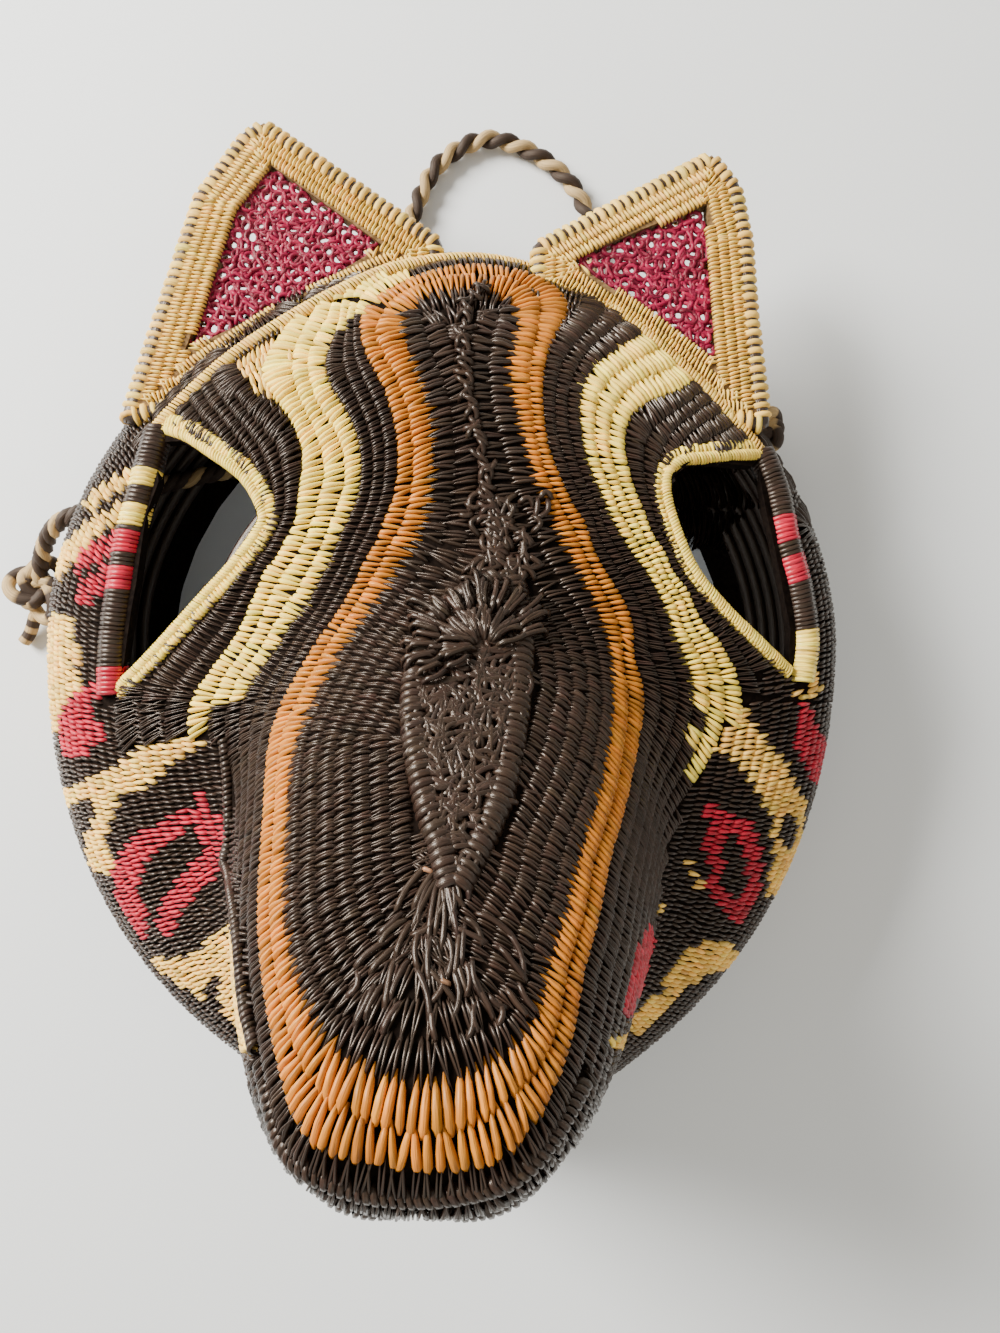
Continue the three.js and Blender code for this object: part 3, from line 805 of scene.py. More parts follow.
def tube_mesh(name, paths, radius, sides, tints, material, ends=True):
    """One mesh of closed tubes; each tint is one colour, or one for each point."""
    vertices, quads, colours, uvs = [], [], [], []
    base = 0
    for path, tint in zip(paths, tints):
        count = len(path)
        size = np.full(count, float(radius))
        if ends:
            from_end = np.minimum(np.arange(count), np.arange(count)[::-1])
            size = size * np.minimum(1, from_end * 0.6 + 0.35)
        vertices.append(tube_rings(path, size, sides).reshape(-1, 3))
        i = np.arange(count - 1)[:, None] * sides
        a = np.arange(sides)[None]
        b = (a + 1) % sides
        quads.append(base + np.stack([i + a, i + sides + a, i + sides + b, i + b], -1).reshape(-1, 4))
        for end, order in ((0, 1), (count - 1, -1)):
            ring = base + end * sides + np.arange(sides)[::order]
            for k in range(1, sides - 1, 2):
                quads.append(np.array([[ring[0], ring[k], ring[k + 1], ring[min(k + 2, sides - 1)]]]))
        tint = np.broadcast_to(np.asarray(tint, float), (count, 3))
        colours.append(np.repeat(tint, sides, axis=0))
        round_it = np.arange(sides) * 2 * math.pi * np.mean(size) / sides
        uvs.append(np.stack(np.broadcast_arrays(round_it, run_along(path)[:, None]), -1).reshape(-1, 2))
        base += count * sides
    return make_mesh(name, np.concatenate(vertices), np.concatenate(quads), material,
                     np.concatenate(colours), np.concatenate(uvs))


def surface_path(plan, sink, count):
    """A smooth line on the form over a line in the plan, sunk a little."""
    flat = curve_through(np.asarray(plan, float), count)
    return np.column_stack([flat, surface_height(flat[:, 0], flat[:, 1]) - sink])


def wrapped_rope(name, path, radius, tint_of, material, spacing, width, lean, arc=115.0, up=None):
    """A core covered with separate wraps that lean along it."""
    length = curve_length(path)
    count = int(length / spacing)
    at = (np.arange(count) + 0.5) / count * (len(path) - 1) + random.uniform(-0.1, 0.1, count)
    turns = np.radians(np.linspace(-arc, arc, 9))
    way = tangents(path)
    normals = settle(path, rounds=1)[1] if up is None else up
    side, top = across_and_over(way, normals)
    sizes = np.broadcast_to(np.asarray(radius, float), len(path))
    shift = lean * turns / math.radians(arc) * sizes.mean()
    where = np.clip(at[:, None] + shift[None] / length * (len(path) - 1), 0, len(path) - 1)

    def sample(values):
        index = np.arange(len(path))
        return np.stack([np.interp(where, index, values[:, i]) for i in range(3)], -1)

    centre, side, top = sample(path), unit(sample(side)), unit(sample(top))
    out = side * np.sin(turns)[None, :, None] + top * np.cos(turns)[None, :, None]
    size = np.interp(where, np.arange(len(path)), sizes)
    lines = centre + out * size[..., None]
    widths = np.full(where.shape, width) * random.uniform(0.75, 1.15, (count, 1))
    thick = np.full(where.shape, width * 0.55) * random.uniform(0.6, 1.1, (count, 1))
    strand_mesh(name, lines, out, widths, thick, tint_of(centre[:, 4]), material)


def twisted_cord(name, route, radius, strands, twist, tints, count):
    """A cord of twisted strands along a route; twist is the length of one full turn."""
    path = curve_through(route, count)
    side, top = across_and_over(tangents(path), UP)
    run = np.linspace(0, curve_length(path), count)
    paths = []
    for k in range(strands):
        turn = run / twist * 2 * math.pi + k * 2 * math.pi / strands
        offset = (side * np.cos(turn)[:, None] + top * np.sin(turn)[:, None]) * radius * 0.46
        paths.append(path + offset)
    return tube_mesh(name, paths, radius * 0.56, 7, tints, cord_fibre), path


# The strap with its knots, and the hanging loop
def knot_path(centre, size, turn):
    """A closed overhand knot, turned about the vertical."""
    t = np.linspace(0, 2 * math.pi, 60)
    x = np.sin(t) + 2 * np.sin(2 * t)
    y = np.cos(t) - 2 * np.cos(2 * t)
    z = -np.sin(3 * t) * 1.1
    knot = np.stack([x, y, z], -1) / 3.0 * size
    return np.column_stack([turned(knot[:, :2], turn), knot[:, 2]]) + np.array(centre)


def add_knot(name, centre, size, loose_ends, node):
    """A strap knot of two-tone cord, with its loose ends."""
    paths, tints = [], []
    for turn, shrink in ((0.4, 1.0), (1.5, 0.62)):
        paths.append(knot_path(centre, np.array(size) * shrink, turn))
        tints.append(np.where(np.sin(np.linspace(0, 30, 60) + turn)[:, None] > 0, TAN_CORD, BROWN_CORD))
    for end in loose_ends:
        paths.append(curve_through(end, 24))
        tints.append(np.where(np.sin(np.linspace(0, 16, 24))[:, None] > 0.2, TAN_CORD, BROWN_CORD))
    piece = tube_mesh(name, paths, 1.7, 8, tints, cord_fibre)
    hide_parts(node)
    return piece


def add_strap():
    left = add_knot("strap_knot_left", LEFT_KNOT, LEFT_KNOT_SIZE, [LEFT_KNOT_END], "left_knot")
    right = add_knot("strap_knot_right", RIGHT_KNOT, RIGHT_KNOT_SIZE, [], "right_knot")
    strap, path = twisted_cord("strap_cord", STRAP_ROUTE, STRAP_RADIUS, strands=3, twist=9.0,
                               tints=[TAN_CORD, BROWN_CORD, BROWN_CORD], count=200)
    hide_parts("head_strap")


def add_loop():
    loop, path = twisted_cord("loop_cord", LOOP_ROUTE, LOOP_RADIUS, strands=2, twist=10.0,
                              tints=[TAN_CORD, BROWN_CORD], count=140)
    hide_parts("hanging_loop")


# Rows of coils and their stitches
def charted(pixel_outlines):
    """Outlines in the photograph, moved to the flat map."""
    return [chart(on_form(outline)) for outline in pixel_outlines]


def centre_outline():
    """Outline of the middle of the face, in the flat map."""
    parts = [on_form(CENTRE_EDGE_LEFT), settle(np.array(CENTRE_EDGE_FRONT, float), rounds=6)[0],
             on_form(CENTRE_EDGE_RIGHT), on_form(CENTRE_EDGE_TOP)]
    return chart(np.concatenate(parts))


def band_start():
    """The closed line where the orange band begins, with the ways out from it."""
    loop = curve_through(on_form(ORANGE_LOOP), STATIONS, closed=True)
    for _ in range(6):
        loop = (np.roll(loop, 1, axis=0) + 2 * loop + np.roll(loop, -1, axis=0)) / 4
    loop, normals = settle(resample(closed_line(loop), STATIONS, True), rounds=3)
    outward = unit(np.cross(tangents(loop, True), normals))
    if ((loop - loop.mean(0)) * outward).sum() < 0:
        outward = -outward
    return loop, outward


def smooth_step(values):
    share = np.clip(values, 0, 1)
    return share * share * (3 - 2 * share)


def rim_line():
    """The closed line where the form meets the table, with the ways up from it."""
    turn = np.linspace(0, 2 * math.pi, STATIONS, endpoint=False)
    points = np.stack([2 + 60 * np.cos(turn), -12 + 80 * np.sin(turn), np.zeros(STATIONS)], -1)
    for _ in range(40):
        slope = form_slope(points)
        size = np.hypot(slope[:, 0], slope[:, 1])
        move = np.clip(form_field(points) / np.maximum(size, 0.1), -4, 4)
        points[:, :2] -= slope[:, :2] / np.maximum(size, 0.1)[:, None] * move[:, None]
    points = resample(closed_line(points), STATIONS, True)
    _, normals = settle(points, rounds=1)
    up = unit(np.cross(tangents(points, True), normals))
    return points, up * np.sign(up[:, 2:])


def near_ropes(places, ropes):
    """True where a stitch would run into one of the ropes."""
    close = np.zeros(len(places), bool)
    for path, distance in ropes:
        close |= nearest_distance(places, path) < distance
    return close


def in_holes(sites, outlines, lowest):
    """True for stitches inside one of the outlines in the plan, above a height."""
    inside = np.zeros(len(sites["place"]), bool)
    for outline in outlines:
        inside |= in_outline(sites["place"][:, :2], outline)
    return inside & (sites["place"][:, 2] > lowest)


def drop_outline():
    """Outline of the drop-shaped panel between its two ropes, in the plan."""
    return np.array(LEFT_RIDGE + RIGHT_RIDGE[::-1], float)


def fitted_levels(loop, outward, pitch):
    """Row numbers over the middle: measured guides above, even rows round the lower snout."""
    places, values = [loop[::12]], [np.zeros(len(loop[::12]))]
    for level, line in ROW_GUIDES:
        points = on_form(line)
        places.append(points)
        values.append(np.full(len(points), level))
    lower = loop[:, 1] < LOWER_SNOUT_Y
    for k, (points, _, _, alive) in enumerate(weave_rows(loop, outward, pitch, 10, slack=1.2)):
        chosen = np.flatnonzero(alive & lower)[::30]
        if k % 2 == 0:
            places.append(points[chosen])
            values.append(np.full(len(chosen), k + 0.5))
    return fit_levels(level_map(np.concatenate(places)), np.concatenate(values))


def build_weave(ropes):
    """Stitches outside the orange's inner edge, inside it, and from the rim up."""
    holes = [np.array(LEFT_TRIM + LEFT_BAR, float), np.array(RIGHT_TRIM + RIGHT_BAR, float)]
    centre = centre_outline()
    loop, outward = band_start()
    front = smooth_step((-loop[:, 1] - 60) / 16)
    brow = smooth_step((loop[:, 1] - 0) / 12)
    pitch = ROW_PITCH * (1 + 1.25 * front)
    even = np.full(STATIONS, STITCH_PITCH)
    out_rows = guided_rows(loop, outward, fitted_levels(loop, outward, pitch), OUTER_ROWS)
    in_pitch = ROW_PITCH * (1 + 1.0 * front + 0.42 * brow)
    in_rows = weave_rows(loop, -outward, in_pitch, INNER_ROWS, slack=0.9)
    outer = stitch_sites(out_rows, pitch, even * (1 + 0.55 * front))
    inner = stitch_sites(in_rows, in_pitch, even * (1.16 + 0.4 * front + 0.65 * brow))
    rim, up = rim_line()
    rim_pitch = np.full(STATIONS, ROW_PITCH * 0.82)
    rim_rows = weave_rows(rim, up, rim_pitch, SIDE_ROWS, slack=2.0)
    side = stitch_sites(rim_rows, rim_pitch, even * 0.95)
    for sites in (outer, inner, side):
        sites["chart"] = chart(sites["place"])
        sites["clear"] = ~near_ropes(sites["place"], ropes) & ~in_holes(sites, holes, EYE_LOWEST_Z)
    drop = [drop_outline()]
    jaw = (outer["row"] >= JAW_FIRST_ROW) & (outer["place"][:, 1] < JAW_TOP_Y)
    outer = subset(outer, outer["clear"] & in_outline(outer["chart"], centre) & ~jaw)
    inner = subset(inner, inner["clear"] & ~in_holes(inner, drop, DROP_LOWEST_Z))
    own = ~in_outline(side["chart"], centre) & ~in_outline(side["chart"], chart(loop))
    made = np.concatenate([outer["place"], inner["place"]])
    bare = nearest_distance(side["place"], made) > BARE_DISTANCE
    unfilled = bare & ~in_holes(side, drop, DROP_LOWEST_Z)
    side = subset(side, side["clear"] & (own | unfilled))
    return outer, inner, side


def colour_groups(sites, cream, red, spots, orange_rows):
    """Which fibre each stitch is made of: 0 dark, 1 cream, 2 orange, 3 red."""
    group = np.zeros(len(sites["place"]), int)
    group[sites["row"] < orange_rows] = 2
    for outline in cream:
        group[in_outline(sites["chart"], outline) & (group == 0)] = 1
    for outline in spots:
        group[in_outline(sites["chart"], outline)] = 0
    for outline in red:
        edge = resample(closed_line(outline), 160)
        near = nearest_distance(sites["chart"], edge) < RED_EDGE
        group[in_outline(sites["chart"], outline) | near] = 3
    return group


def stitch_leans(label, sites):
    """How far stitches turn from straight across their rows, as radians to the left."""
    is_right = sites["place"][:, 0] > LEAN_SIDES_X
    if label == "cheek":
        return np.where(is_right, 0.28, -0.28)
    outward = sites["way"][:, 0] * (1.0 if label == "centre" else -1.0)
    calm = smooth_step((60 - sites["place"][:, 1]) / 30)
    most = np.where(is_right, 0.42, 0.38) if label == "centre" else np.where(is_right, 0.22, 0.18)
    return -outward * most * calm


def named_parts(label, look, mask, is_right):
    """Names and members of the pieces that one look makes; the largest is made in two halves."""
    name = f"{label}_{look}_stitches"
    if label == "cheek" and look == "dark":
        return [(f"left_{name}", mask & ~is_right), (f"right_{name}", mask & is_right)]
    return [(name, mask)]


def add_stitches(ropes):
    """All the stitches over the coils, a piece for each part of the face and each colour."""
    outer, inner, side = build_weave(ropes)
    cream, red, spots = charted(CREAM_PATCHES), charted(RED_PATCHES), charted(DARK_SPOTS)
    looks = [("dark", DARK, dark_fibre, 0.36), ("cream", CREAM, cream_fibre, 0.57),
             ("orange", ORANGE, orange_fibre, 0.53), ("red", RED, red_fibre, 0.50)]
    for label, sites, orange_rows in (("centre", outer, 2), ("bridge", inner, 0), ("cheek", side, 0)):
        group = colour_groups(sites, cream, red, spots, orange_rows)
        leans = stitch_leans(label, sites)
        is_right = sites["place"][:, 0] > LEAN_SIDES_X
        for k, (look, colour, material, width) in enumerate(looks):
            if look == "cream" and label == "cheek":
                colour = CHEEK_CREAM
            for name, mask in named_parts(label, look, group == k, is_right):
                if mask.sum() < 5:
                    continue
                part = subset(sites, mask)
                wide = width * part["spacing"] / STITCH_PITCH
                tints, turned = varied(colour, mask.sum()), leans[mask]
                if look == "dark" and label != "cheek":
                    part, tints, wide, turned = twin_strands(part, tints, wide, turned)
                stitches(name, part, tints, material, wide, turned)


def add_fringes():
    """Short cream stitches that hold each eye's trim to the weave above and beside it."""
    for side, trim, eye in (("left", LEFT_TRIM, LEFT_EYE), ("right", RIGHT_TRIM, RIGHT_EYE)):
        path = surface_path(trim, 0, 400)
        path = path[::max(int(400 / (curve_length(path) / 1.05)), 1)]
        _, normals = settle(path, rounds=1)
        outward = unit(np.cross(tangents(path), normals))
        away = path - np.array([*np.mean(eye, axis=0), 0.0])
        outward = outward * np.sign((outward * away).sum(1, keepdims=True))
        share = np.linspace(0, 1, len(path)) ** (1.0 if side == "left" else 2.0)
        least = 1.8 if side == "left" else 1.1
        pitch = least + (3.2 - least) * share * random.uniform(0.85, 1.15, len(path))
        sites = dict(place=path + outward * (0.6 + pitch * 0.45)[:, None], way=outward, normal=normals,
                     pitch=pitch)
        stitches(f"{side}_eye_fringe", sites, varied(CREAM, len(path), 0.08), cream_fibre,
                 width=0.50, lean=0.0, lift=1.15)


def to_pixels(points):
    """Where the camera of the photograph sees places of the mask."""
    moved = np.asarray(points, float) - CAMERA_PLACE
    flat = turned(moved, -CAMERA_TURN) / -moved[:, 2:]
    return np.column_stack([FRAME_WIDTH / 2 + FOCAL_PIXELS * flat[:, 0],
                            FRAME_HEIGHT / 2 - FOCAL_PIXELS * flat[:, 1]])


def banded(bands, otherwise):
    """A colour for each place along a rope, chosen by how far down the photograph it lies."""
    def tint_of(places):
        rows = to_pixels(places)[:, 1]
        tints = varied(otherwise, len(rows), 0.08)
        for top, bottom, colour in bands:
            inside = (rows > top) & (rows < bottom)
            tints[inside] = varied(colour, inside.sum(), 0.08)
        return tints
    return tint_of


def add_woven_ropes():
    """Trims and bars of the eyes, the forehead's cord, the panel's two ropes and the snout's seam."""
    for side, trim in (("left", LEFT_TRIM), ("right", RIGHT_TRIM)):
        path = surface_path(trim, TRIM_RADIUS * 0.3, 200)
        wrapped_rope(f"{side}_eye_trim", path, TRIM_RADIUS + 0.05, banded([], CREAM), cream_fibre,
                     spacing=0.70, width=0.36, lean=0.6)
    for side, bar, bands in (("left", LEFT_BAR, LEFT_BAR_BANDS), ("right", RIGHT_BAR, RIGHT_BAR_BANDS)):
        path = surface_path(bar, BAR_RADIUS * 0.3, 120)
        wrapped_rope(f"{side}_eye_bar", path, BAR_RADIUS + 0.2, banded(bands, DARK), dark_fibre,
                     spacing=0.95, width=0.58, lean=0.2, arc=165.0)
    path = surface_path(ARCH, ARCH_RADIUS * 0.2, 300)
    wrapped_rope("brow_cord", path, ARCH_RADIUS + 0.2, banded([], TAN), cream_fibre,
                 spacing=0.85, width=0.36, lean=0.5)
    for side, ridge, lean in (("left", LEFT_RIDGE, 0.2), ("right", RIGHT_RIDGE, -0.2)):
        path = surface_path(ridge, RIDGE_RADIUS * 0.2, 120)
        wrapped_rope(f"{side}_bridge_rope", path, RIDGE_RADIUS + 0.1, banded([], DARK), dark_fibre,
                     spacing=1.6, width=0.86, lean=lean)
    path = settle(curve_through(on_form(LEFT_SEAM), 120), 0.4)[0]
    wrapped_rope("left_snout_seam", path, 1.1, banded([], DARK), dark_fibre,
                 spacing=1.15, width=0.55, lean=0.4)


def laid_paths(starts, ends, lift, bow, rings=9):
    """Strands laid over the form between pairs of places, their ends dipping under."""
    t = np.linspace(0, 1, rings)[None, :, None]
    lines = starts[:, None] * (1 - t) + ends[:, None] * t
    _, normals = settle(starts, rounds=1)
    side = np.cross(unit(ends - starts), normals) * random.normal(0, bow, (len(starts), 1))
    lines = lines + side[:, None] * np.sin(t * math.pi)
    flat, _ = settle(lines.reshape(-1, 3), rounds=4)
    _, normals = settle(flat, rounds=1)
    rise = lift * (np.clip(np.sin(t * math.pi) * 2.2, 0, 1) - 0.45)
    return flat.reshape(lines.shape) + normals.reshape(lines.shape) * rise


def add_laid_strands(name, starts, ends, lift, radius, bow, colour=DARK):
    paths = laid_paths(starts, ends, lift, bow)
    tube_mesh(name, paths, radius, 5, varied(colour, len(paths), 0.2), dark_fibre)


def add_bridge_filling():
    """Knotted strands that close the drop-shaped panel between its two ropes."""
    outline = drop_outline()
    low, high = outline.min(0), outline.max(0)
    places = random.uniform(low, high, (620, 2))
    places = places[in_outline(places, outline)]
    turns = random.choice([0.15, 1.2, 1.75, -0.5], len(places)) + random.normal(0, 0.3, len(places))
    half = random.uniform(1.5, 4.0, len(places))
    offset = np.column_stack([np.sin(turns), np.cos(turns)]) * half[:, None]
    ends = []
    for sign in (-1, 1):
        flat = places + sign * offset
        ends.append(np.column_stack([flat, surface_height(flat[:, 0], flat[:, 1])]))
    add_laid_strands("bridge_filling", ends[0], ends[1], lift=2.6, radius=0.62, bow=1.2)


def add_fans():
    """Thick strands that spread from the top and the foot of the drop-shaped panel."""
    starts, ends = [], []
    for turn in np.radians(np.linspace(-118, 72, 44)):
        for inner, outer in ((5, 46), (34, 74)):
            away = np.array([math.sin(turn), -math.cos(turn)])
            wobble = random.normal(0, 2.5, 2)
            starts.append(UPPER_FAN_MIDDLE + away * (inner + random.uniform(0, 8)) + wobble)
            ends.append(UPPER_FAN_MIDDLE + away * (outer + random.normal(0, 5)) + wobble)
    add_laid_strands("upper_fan", on_form(starts), on_form(ends), lift=5.6, radius=0.58, bow=0.7)
    starts, ends = [], []
    for turn in np.radians(np.linspace(-44, 44, 17)):
        for inner, outer in ((4, 70), (62, 112), (100, 150), (140, 180)):
            away = np.array([math.sin(turn) * 0.8, math.cos(turn)])
            aside = np.array([away[1], -away[0]]) * random.normal(0, 7)
            wobble = random.normal(0, 4, 2)
            starts.append(LOWER_FAN_TOP + away * inner + wobble - aside * (inner > 10))
            ends.append(LOWER_FAN_TOP + away * (outer + random.normal(0, 12)) + wobble + aside)
    chosen = random.random(len(starts)) < 0.8
    add_laid_strands("lower_fan", on_form(np.array(starts)[chosen]), on_form(np.array(ends)[chosen]),
                     lift=1.7, radius=0.54, bow=0.8)
    add_laid_strands("pale_knots", on_form(PALE_KNOTS - (5, 1)), on_form(PALE_KNOTS + (5, 3)),
                     lift=2.4, radius=0.45, bow=0.0, colour=KNOT_BROWN)


def add_forehead_seam():
    """The two twisted strands down the forehead, the knots over them and the tangle below."""
    path, normals = settle(curve_through(on_form(SEAM_STRAND), 140), 1.2)
    way = tangents(path)
    side = unit(np.cross(way, normals))
    run = np.linspace(0, curve_length(path), len(path))
    paths = []
    wander = np.sin(run * 0.9)[:, None] * side * 0.5
    for k in range(2):
        turn = run / 5.0 * 2 * math.pi + k * math.pi
        round_it = side * np.cos(turn)[:, None] + normals * np.sin(turn)[:, None]
        paths.append(path + wander + round_it * 0.6)
    tube_mesh("forehead_seam", paths, 0.55, 6, [DARK] * 2, dark_fibre)
    path, side, way = path[6:-6:5], side[6:-6:5], way[6:-6:5]
    marks = path + random.normal(0, 0.5, path.shape)
    turns = random.uniform(-0.9, 0.9, len(marks))
    half = (side * np.cos(turns)[:, None] + way * np.sin(turns)[:, None]) * 2.2
    add_laid_strands("seam_knots", marks - half, marks + half, lift=3.0, radius=0.6, bow=0.8)
    centres = np.array([(random.normal(TANGLE_COLUMN, TANGLE_SPREAD), random.uniform(*TANGLE_ROWS))
                        for _ in range(TANGLE_COUNT)])
    turns = random.uniform(0, math.pi, TANGLE_COUNT)
    half = np.column_stack([np.cos(turns), np.sin(turns)]) * random.uniform(6, 16, (TANGLE_COUNT, 1))
    add_laid_strands("bridge_tangle", on_form(centres - half), on_form(centres + half),
                     lift=2.4, radius=0.6, bow=1.5)


# Ears
def ear_height(y):
    return EAR_TOP + EAR_LEAN * (y - EAR_FROM_Y)


def on_ear(plan, lift):
    return np.column_stack([plan, ear_height(plan[:, 1]) + lift])


def edge_distance(points, a, b):
    """Distance from places in the plan to one straight edge."""
    along = b - a
    share = np.clip(((points - a) @ along) / (along @ along), 0, 1)
    return np.linalg.norm(points - (a + share[:, None] * along), axis=1)


def flat_strands(name, sites, ways, tints, below):
    """Short stitches on the flat ears."""
    lines = sites[:, None] + ways[:, None] * (EAR_STITCH_HALF * STITCH_AT)[:, None]
    rise = STITCH_LIFT * 0.75 + 0.15
    height = ear_height(lines[..., 1]) - (EAR_THICKNESS if below else 0.0)
    flip = -1.0 if below else 1.0
    lines = np.concatenate([lines, (height + flip * rise)[..., None]], -1)
    normals = np.broadcast_to(unit(EAR_UP) * flip, lines.shape)
    widths = (0.36 * random.uniform(0.85, 1.1, len(sites)))[:, None] * STITCH_WIDTH
    strand_mesh(name, lines, normals, widths, np.full(widths.shape, 0.4), tints, cream_fibre)


def add_ear_stitches(side, outline, lace, below):
    """Coil rows along each edge of the ear, as far as the net."""
    outline, lace = np.asarray(outline, float), np.asarray(lace, float)
    middle = lace.mean(0)
    places, ways, nearest = [], [], []
    edges = list(zip(outline, np.roll(outline, -1, axis=0)))
    for i, (a, b) in enumerate(edges):
        length = np.linalg.norm(b - a)
        along = (b - a) / length
        inward = np.array([-along[1], along[0]])
        if (middle - a) @ inward < 0:
            inward = -inward
        for k in range(6):
            at = np.arange(0.3, length, 0.92) + 0.46 * (k % 2)
            spots = a + along * at[:, None] + inward * ((k + 0.5) * 2.3 + 2.7)
            places.append(spots)
            ways.append(np.broadcast_to(inward, spots.shape))
            own = edge_distance(spots, a, b)
            others = np.min([edge_distance(spots, c, d) for j, (c, d) in enumerate(edges) if j != i],
                            axis=0)
            nearest.append(others > own - 0.6)
    places, ways = np.concatenate(places), np.concatenate(ways)
    keep = np.concatenate(nearest) & in_outline(places, outline) & ~in_outline(places, lace)
    places, ways = places[keep], ways[keep]
    ways = turned(ways, random.normal(0.15, 0.08, len(places)))
    name = f"{side}_ear_{'under' if below else 'upper'}_stitches"
    flat_strands(name, places, ways, varied(TAN, len(places), 0.1), below)


def add_ear_rim(side, outline):
    """The whipped roll round an ear; the dark roll under its wraps is painted shade in the gaps between
    them.
    """
    plan = np.asarray(outline, float)
    plan = closed_line(plan + unit(plan.mean(0) - plan) * 1.5)
    path = resample(on_ear(plan, -EAR_THICKNESS / 2 + 0.4), 300)
    # The roll's dark brown is painted shade: it shows in the gaps between the tan wraps
    tube_mesh(f"{side}_ear_roll", [path], 2.0, 8, [BROWN_CORD], dark_fibre)
    wrapped_rope(f"{side}_ear_whipping", path, 2.3, lambda places: varied(TAN, len(places), 0.1),
                 cream_fibre, spacing=2.05, width=0.74, lean=0.15, arc=150.0, up=EAR_UP)


def add_net(side, lace, node):
    """The crimson net: looped strands with small open holes."""
    lace = np.asarray(lace, float)
    low, high = lace.min(0) - 1, lace.max(0) + 1
    paths, tints = [], []
    spacing = 2.7
    turn = np.linspace(0, 2 * math.pi, 11)
    for j, y in enumerate(np.arange(low[1], high[1], spacing * 0.87)):
        for x in np.arange(low[0] + spacing * 0.5 * (j % 2), high[0], spacing):
            centre = np.array([x, y]) + random.normal(0, 0.28, 2)
            if not in_outline(centre[None], lace)[0]:
                continue
            for layer in range(3):
                radius = random.uniform(0.95, 1.6, 2)
                tilt = random.uniform(-0.4, 0.4, 2)
                ring = np.column_stack([centre[0] + radius[0] * np.cos(turn + layer),
                                        centre[1] + radius[1] * np.sin(turn + layer)])
                lift = (np.cos(turn + layer) * tilt[0] + np.sin(turn + layer) * tilt[1]) * 1.2
                paths.append(on_ear(ring, lift - 1.4))
                tints.append(varied(CRIMSON, 1, 0.3)[0])
    for _ in range(220):
        middle = random.uniform(low, high)
        turn_by = random.uniform(0, math.pi)
        half = np.array([math.cos(turn_by), math.sin(turn_by)]) * random.uniform(1.5, 3.5)
        line = np.linspace(middle - half, middle + half, 6) + random.normal(0, 0.2, (6, 2))
        if in_outline(line, lace).all():
            paths.append(on_ear(line, random.normal(0, 0.3, 6) - 1.2))
            tints.append(varied(CRIMSON, 1, 0.3)[0])
    piece = tube_mesh(f"{side}_ear_net", paths, 0.50, 5, tints, red_fibre, ends=False)
    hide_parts(node)


def add_ears():
    for side, outline, lace in (("left", LEFT_EAR, LEFT_LACE), ("right", RIGHT_EAR, RIGHT_LACE)):
        add_ear_rim(side, outline)
        add_ear_stitches(side, outline, lace, False)
        add_ear_stitches(side, outline, lace, True)
        add_net(side, lace, f"{side}_ear_lace")


def rope_list():
    """Ropes that lie in the weave, with how far from their middle the stitches stop."""
    lines = [(LEFT_TRIM, TRIM_RADIUS, 90), (RIGHT_TRIM, TRIM_RADIUS, 90), (LEFT_BAR, BAR_RADIUS, 60),
             (RIGHT_BAR, BAR_RADIUS, 60), (ARCH, ARCH_RADIUS, 150), (LEFT_RIDGE, RIDGE_RADIUS, 60),
             (RIGHT_RIDGE, RIDGE_RADIUS, 60)]
    ropes = [(surface_path(line, radius * 0.3, count), radius) for line, radius, count in lines]
    ropes.append((settle(curve_through(on_form(LEFT_SEAM), 90))[0], 1.2))
    ropes.append((lip_path(), 1.3))
    return ropes + [(jaw_path(line), 3.4) for line in JAW_LOBES]


def lip_path():
    return settle(curve_through(on_form(UPPER_LIP), 160), -0.3)[0]


def jaw_path(line):
    return settle(curve_through(on_form(line) + np.array([0.0, -0.6, -8.5]), 80), -1.5)[0]


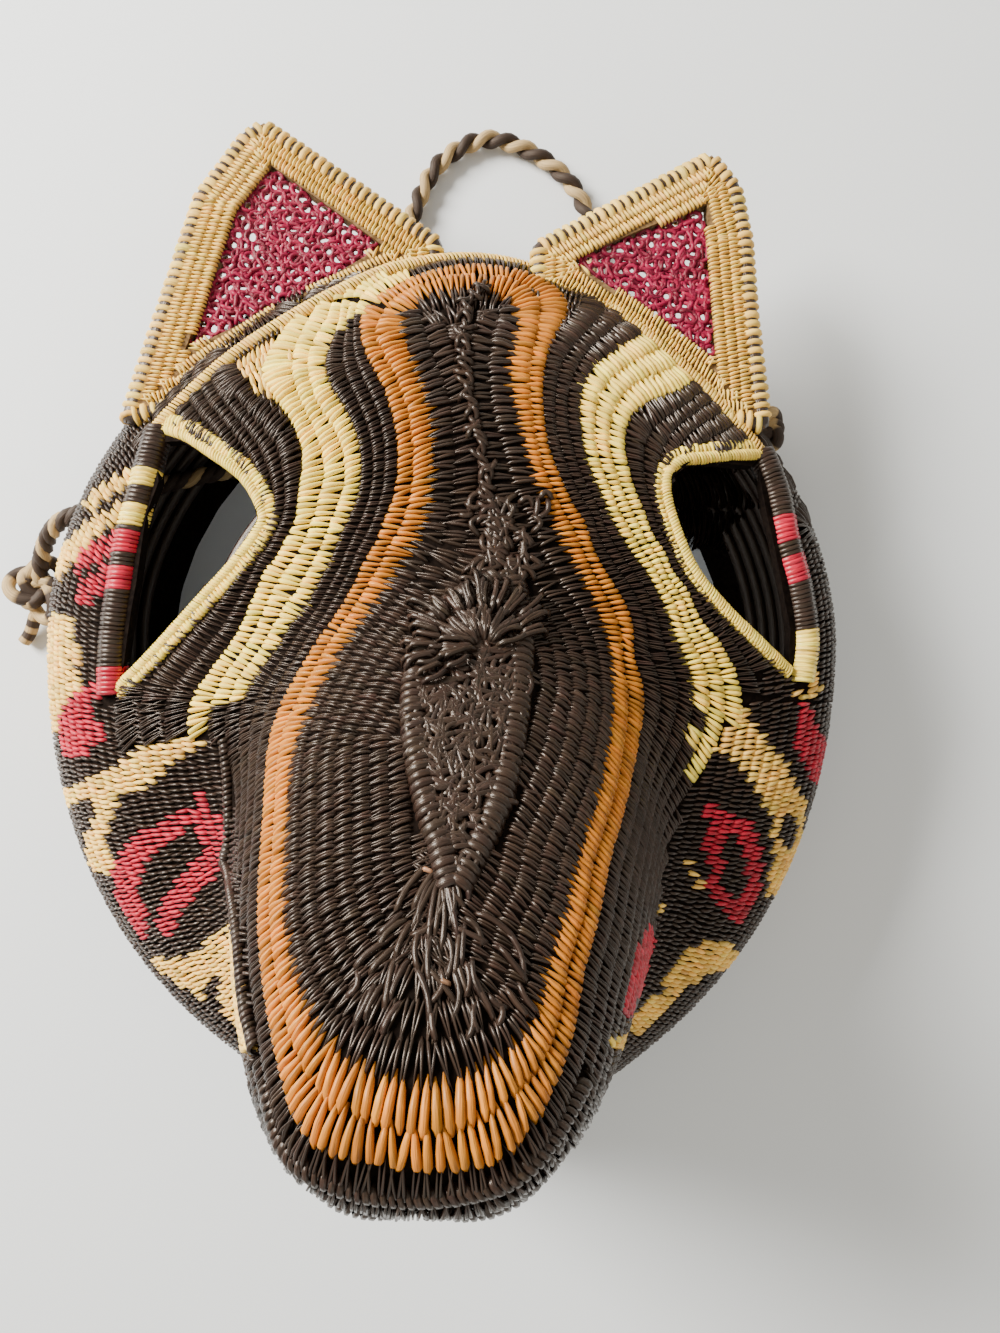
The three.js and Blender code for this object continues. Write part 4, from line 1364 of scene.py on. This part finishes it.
def add_lips():
    """The lip's rolled edge and the two wrapped lobes of the jaw under it."""
    wrapped_rope("upper_lip", lip_path(), 1.6, banded([], DARK), dark_fibre,
                 spacing=1.25, width=0.62, lean=0.5)
    for side, line in zip(("left", "right"), JAW_LOBES):
        path = jaw_path(line)
        swell = 3.2 * np.sin(np.linspace(0.25, 2.9, len(path))) ** 0.6
        wrapped_rope(f"{side}_jaw_wraps", path, swell, banded([], DARK), dark_fibre,
                     spacing=1.2, width=0.62, lean=0.3)


def add_rim_and_inside():
    """A wrapped roll round the rim, and coils that show as ridges inside."""
    rim, up = rim_line()
    path, _ = settle(closed_line(rim + UP * 1.7), -0.9)
    path[:, 2] = RIM_ROLL_Z
    wrapped_rope("rim_wraps", path, 1.6, banded([], DARK), dark_fibre,
                 spacing=1.45, width=0.70, lean=0.3, arc=150.0)
    rows = weave_rows(rim, up, np.full(STATIONS, ROW_PITCH * 1.05), INSIDE_ROWS, slack=2.0)
    paths = []
    for points, _, normals, alive in rows[1:]:
        inner = points - normals * (WALL + 0.2)
        for hole in (LEFT_EYE, RIGHT_EYE):
            in_hole = in_outline(inner[:, :2], np.array(hole, float) * 1.03) & (inner[:, 2] > 20)
            alive = alive & ~in_hole
        for run in np.split(np.arange(len(points)), np.flatnonzero(~alive)):
            if len(run) > 24:
                line = inner[run[1:]]
                paths.append(resample(line, max(int(curve_length(line) / 2.5), 6)))
    tube_mesh("inner_coils", paths, 1.5, 6, varied(DARK, len(paths), 0.12), dark_fibre)


def dress_solids():
    """The core of the coils on the solids that stay visible between the stitches; on the face it is
    near-black, partly the core's own dark colour and partly painted shade in those gaps.
    """
    for name, material in (("woven_face", under_layer), ("left_ear_frame", pale_under_layer),
                           ("right_ear_frame", pale_under_layer)):
        solid = bpy.data.objects[name]
        solid.data.materials.clear()
        solid.data.materials.append(material)


add_camera()
add_light()
add_floor()
add_strap()
add_loop()
add_stitches(rope_list())
add_fringes()
add_woven_ropes()
add_bridge_filling()
add_fans()
add_forehead_seam()
add_ears()
add_lips()
add_rim_and_inside()
dress_solids()
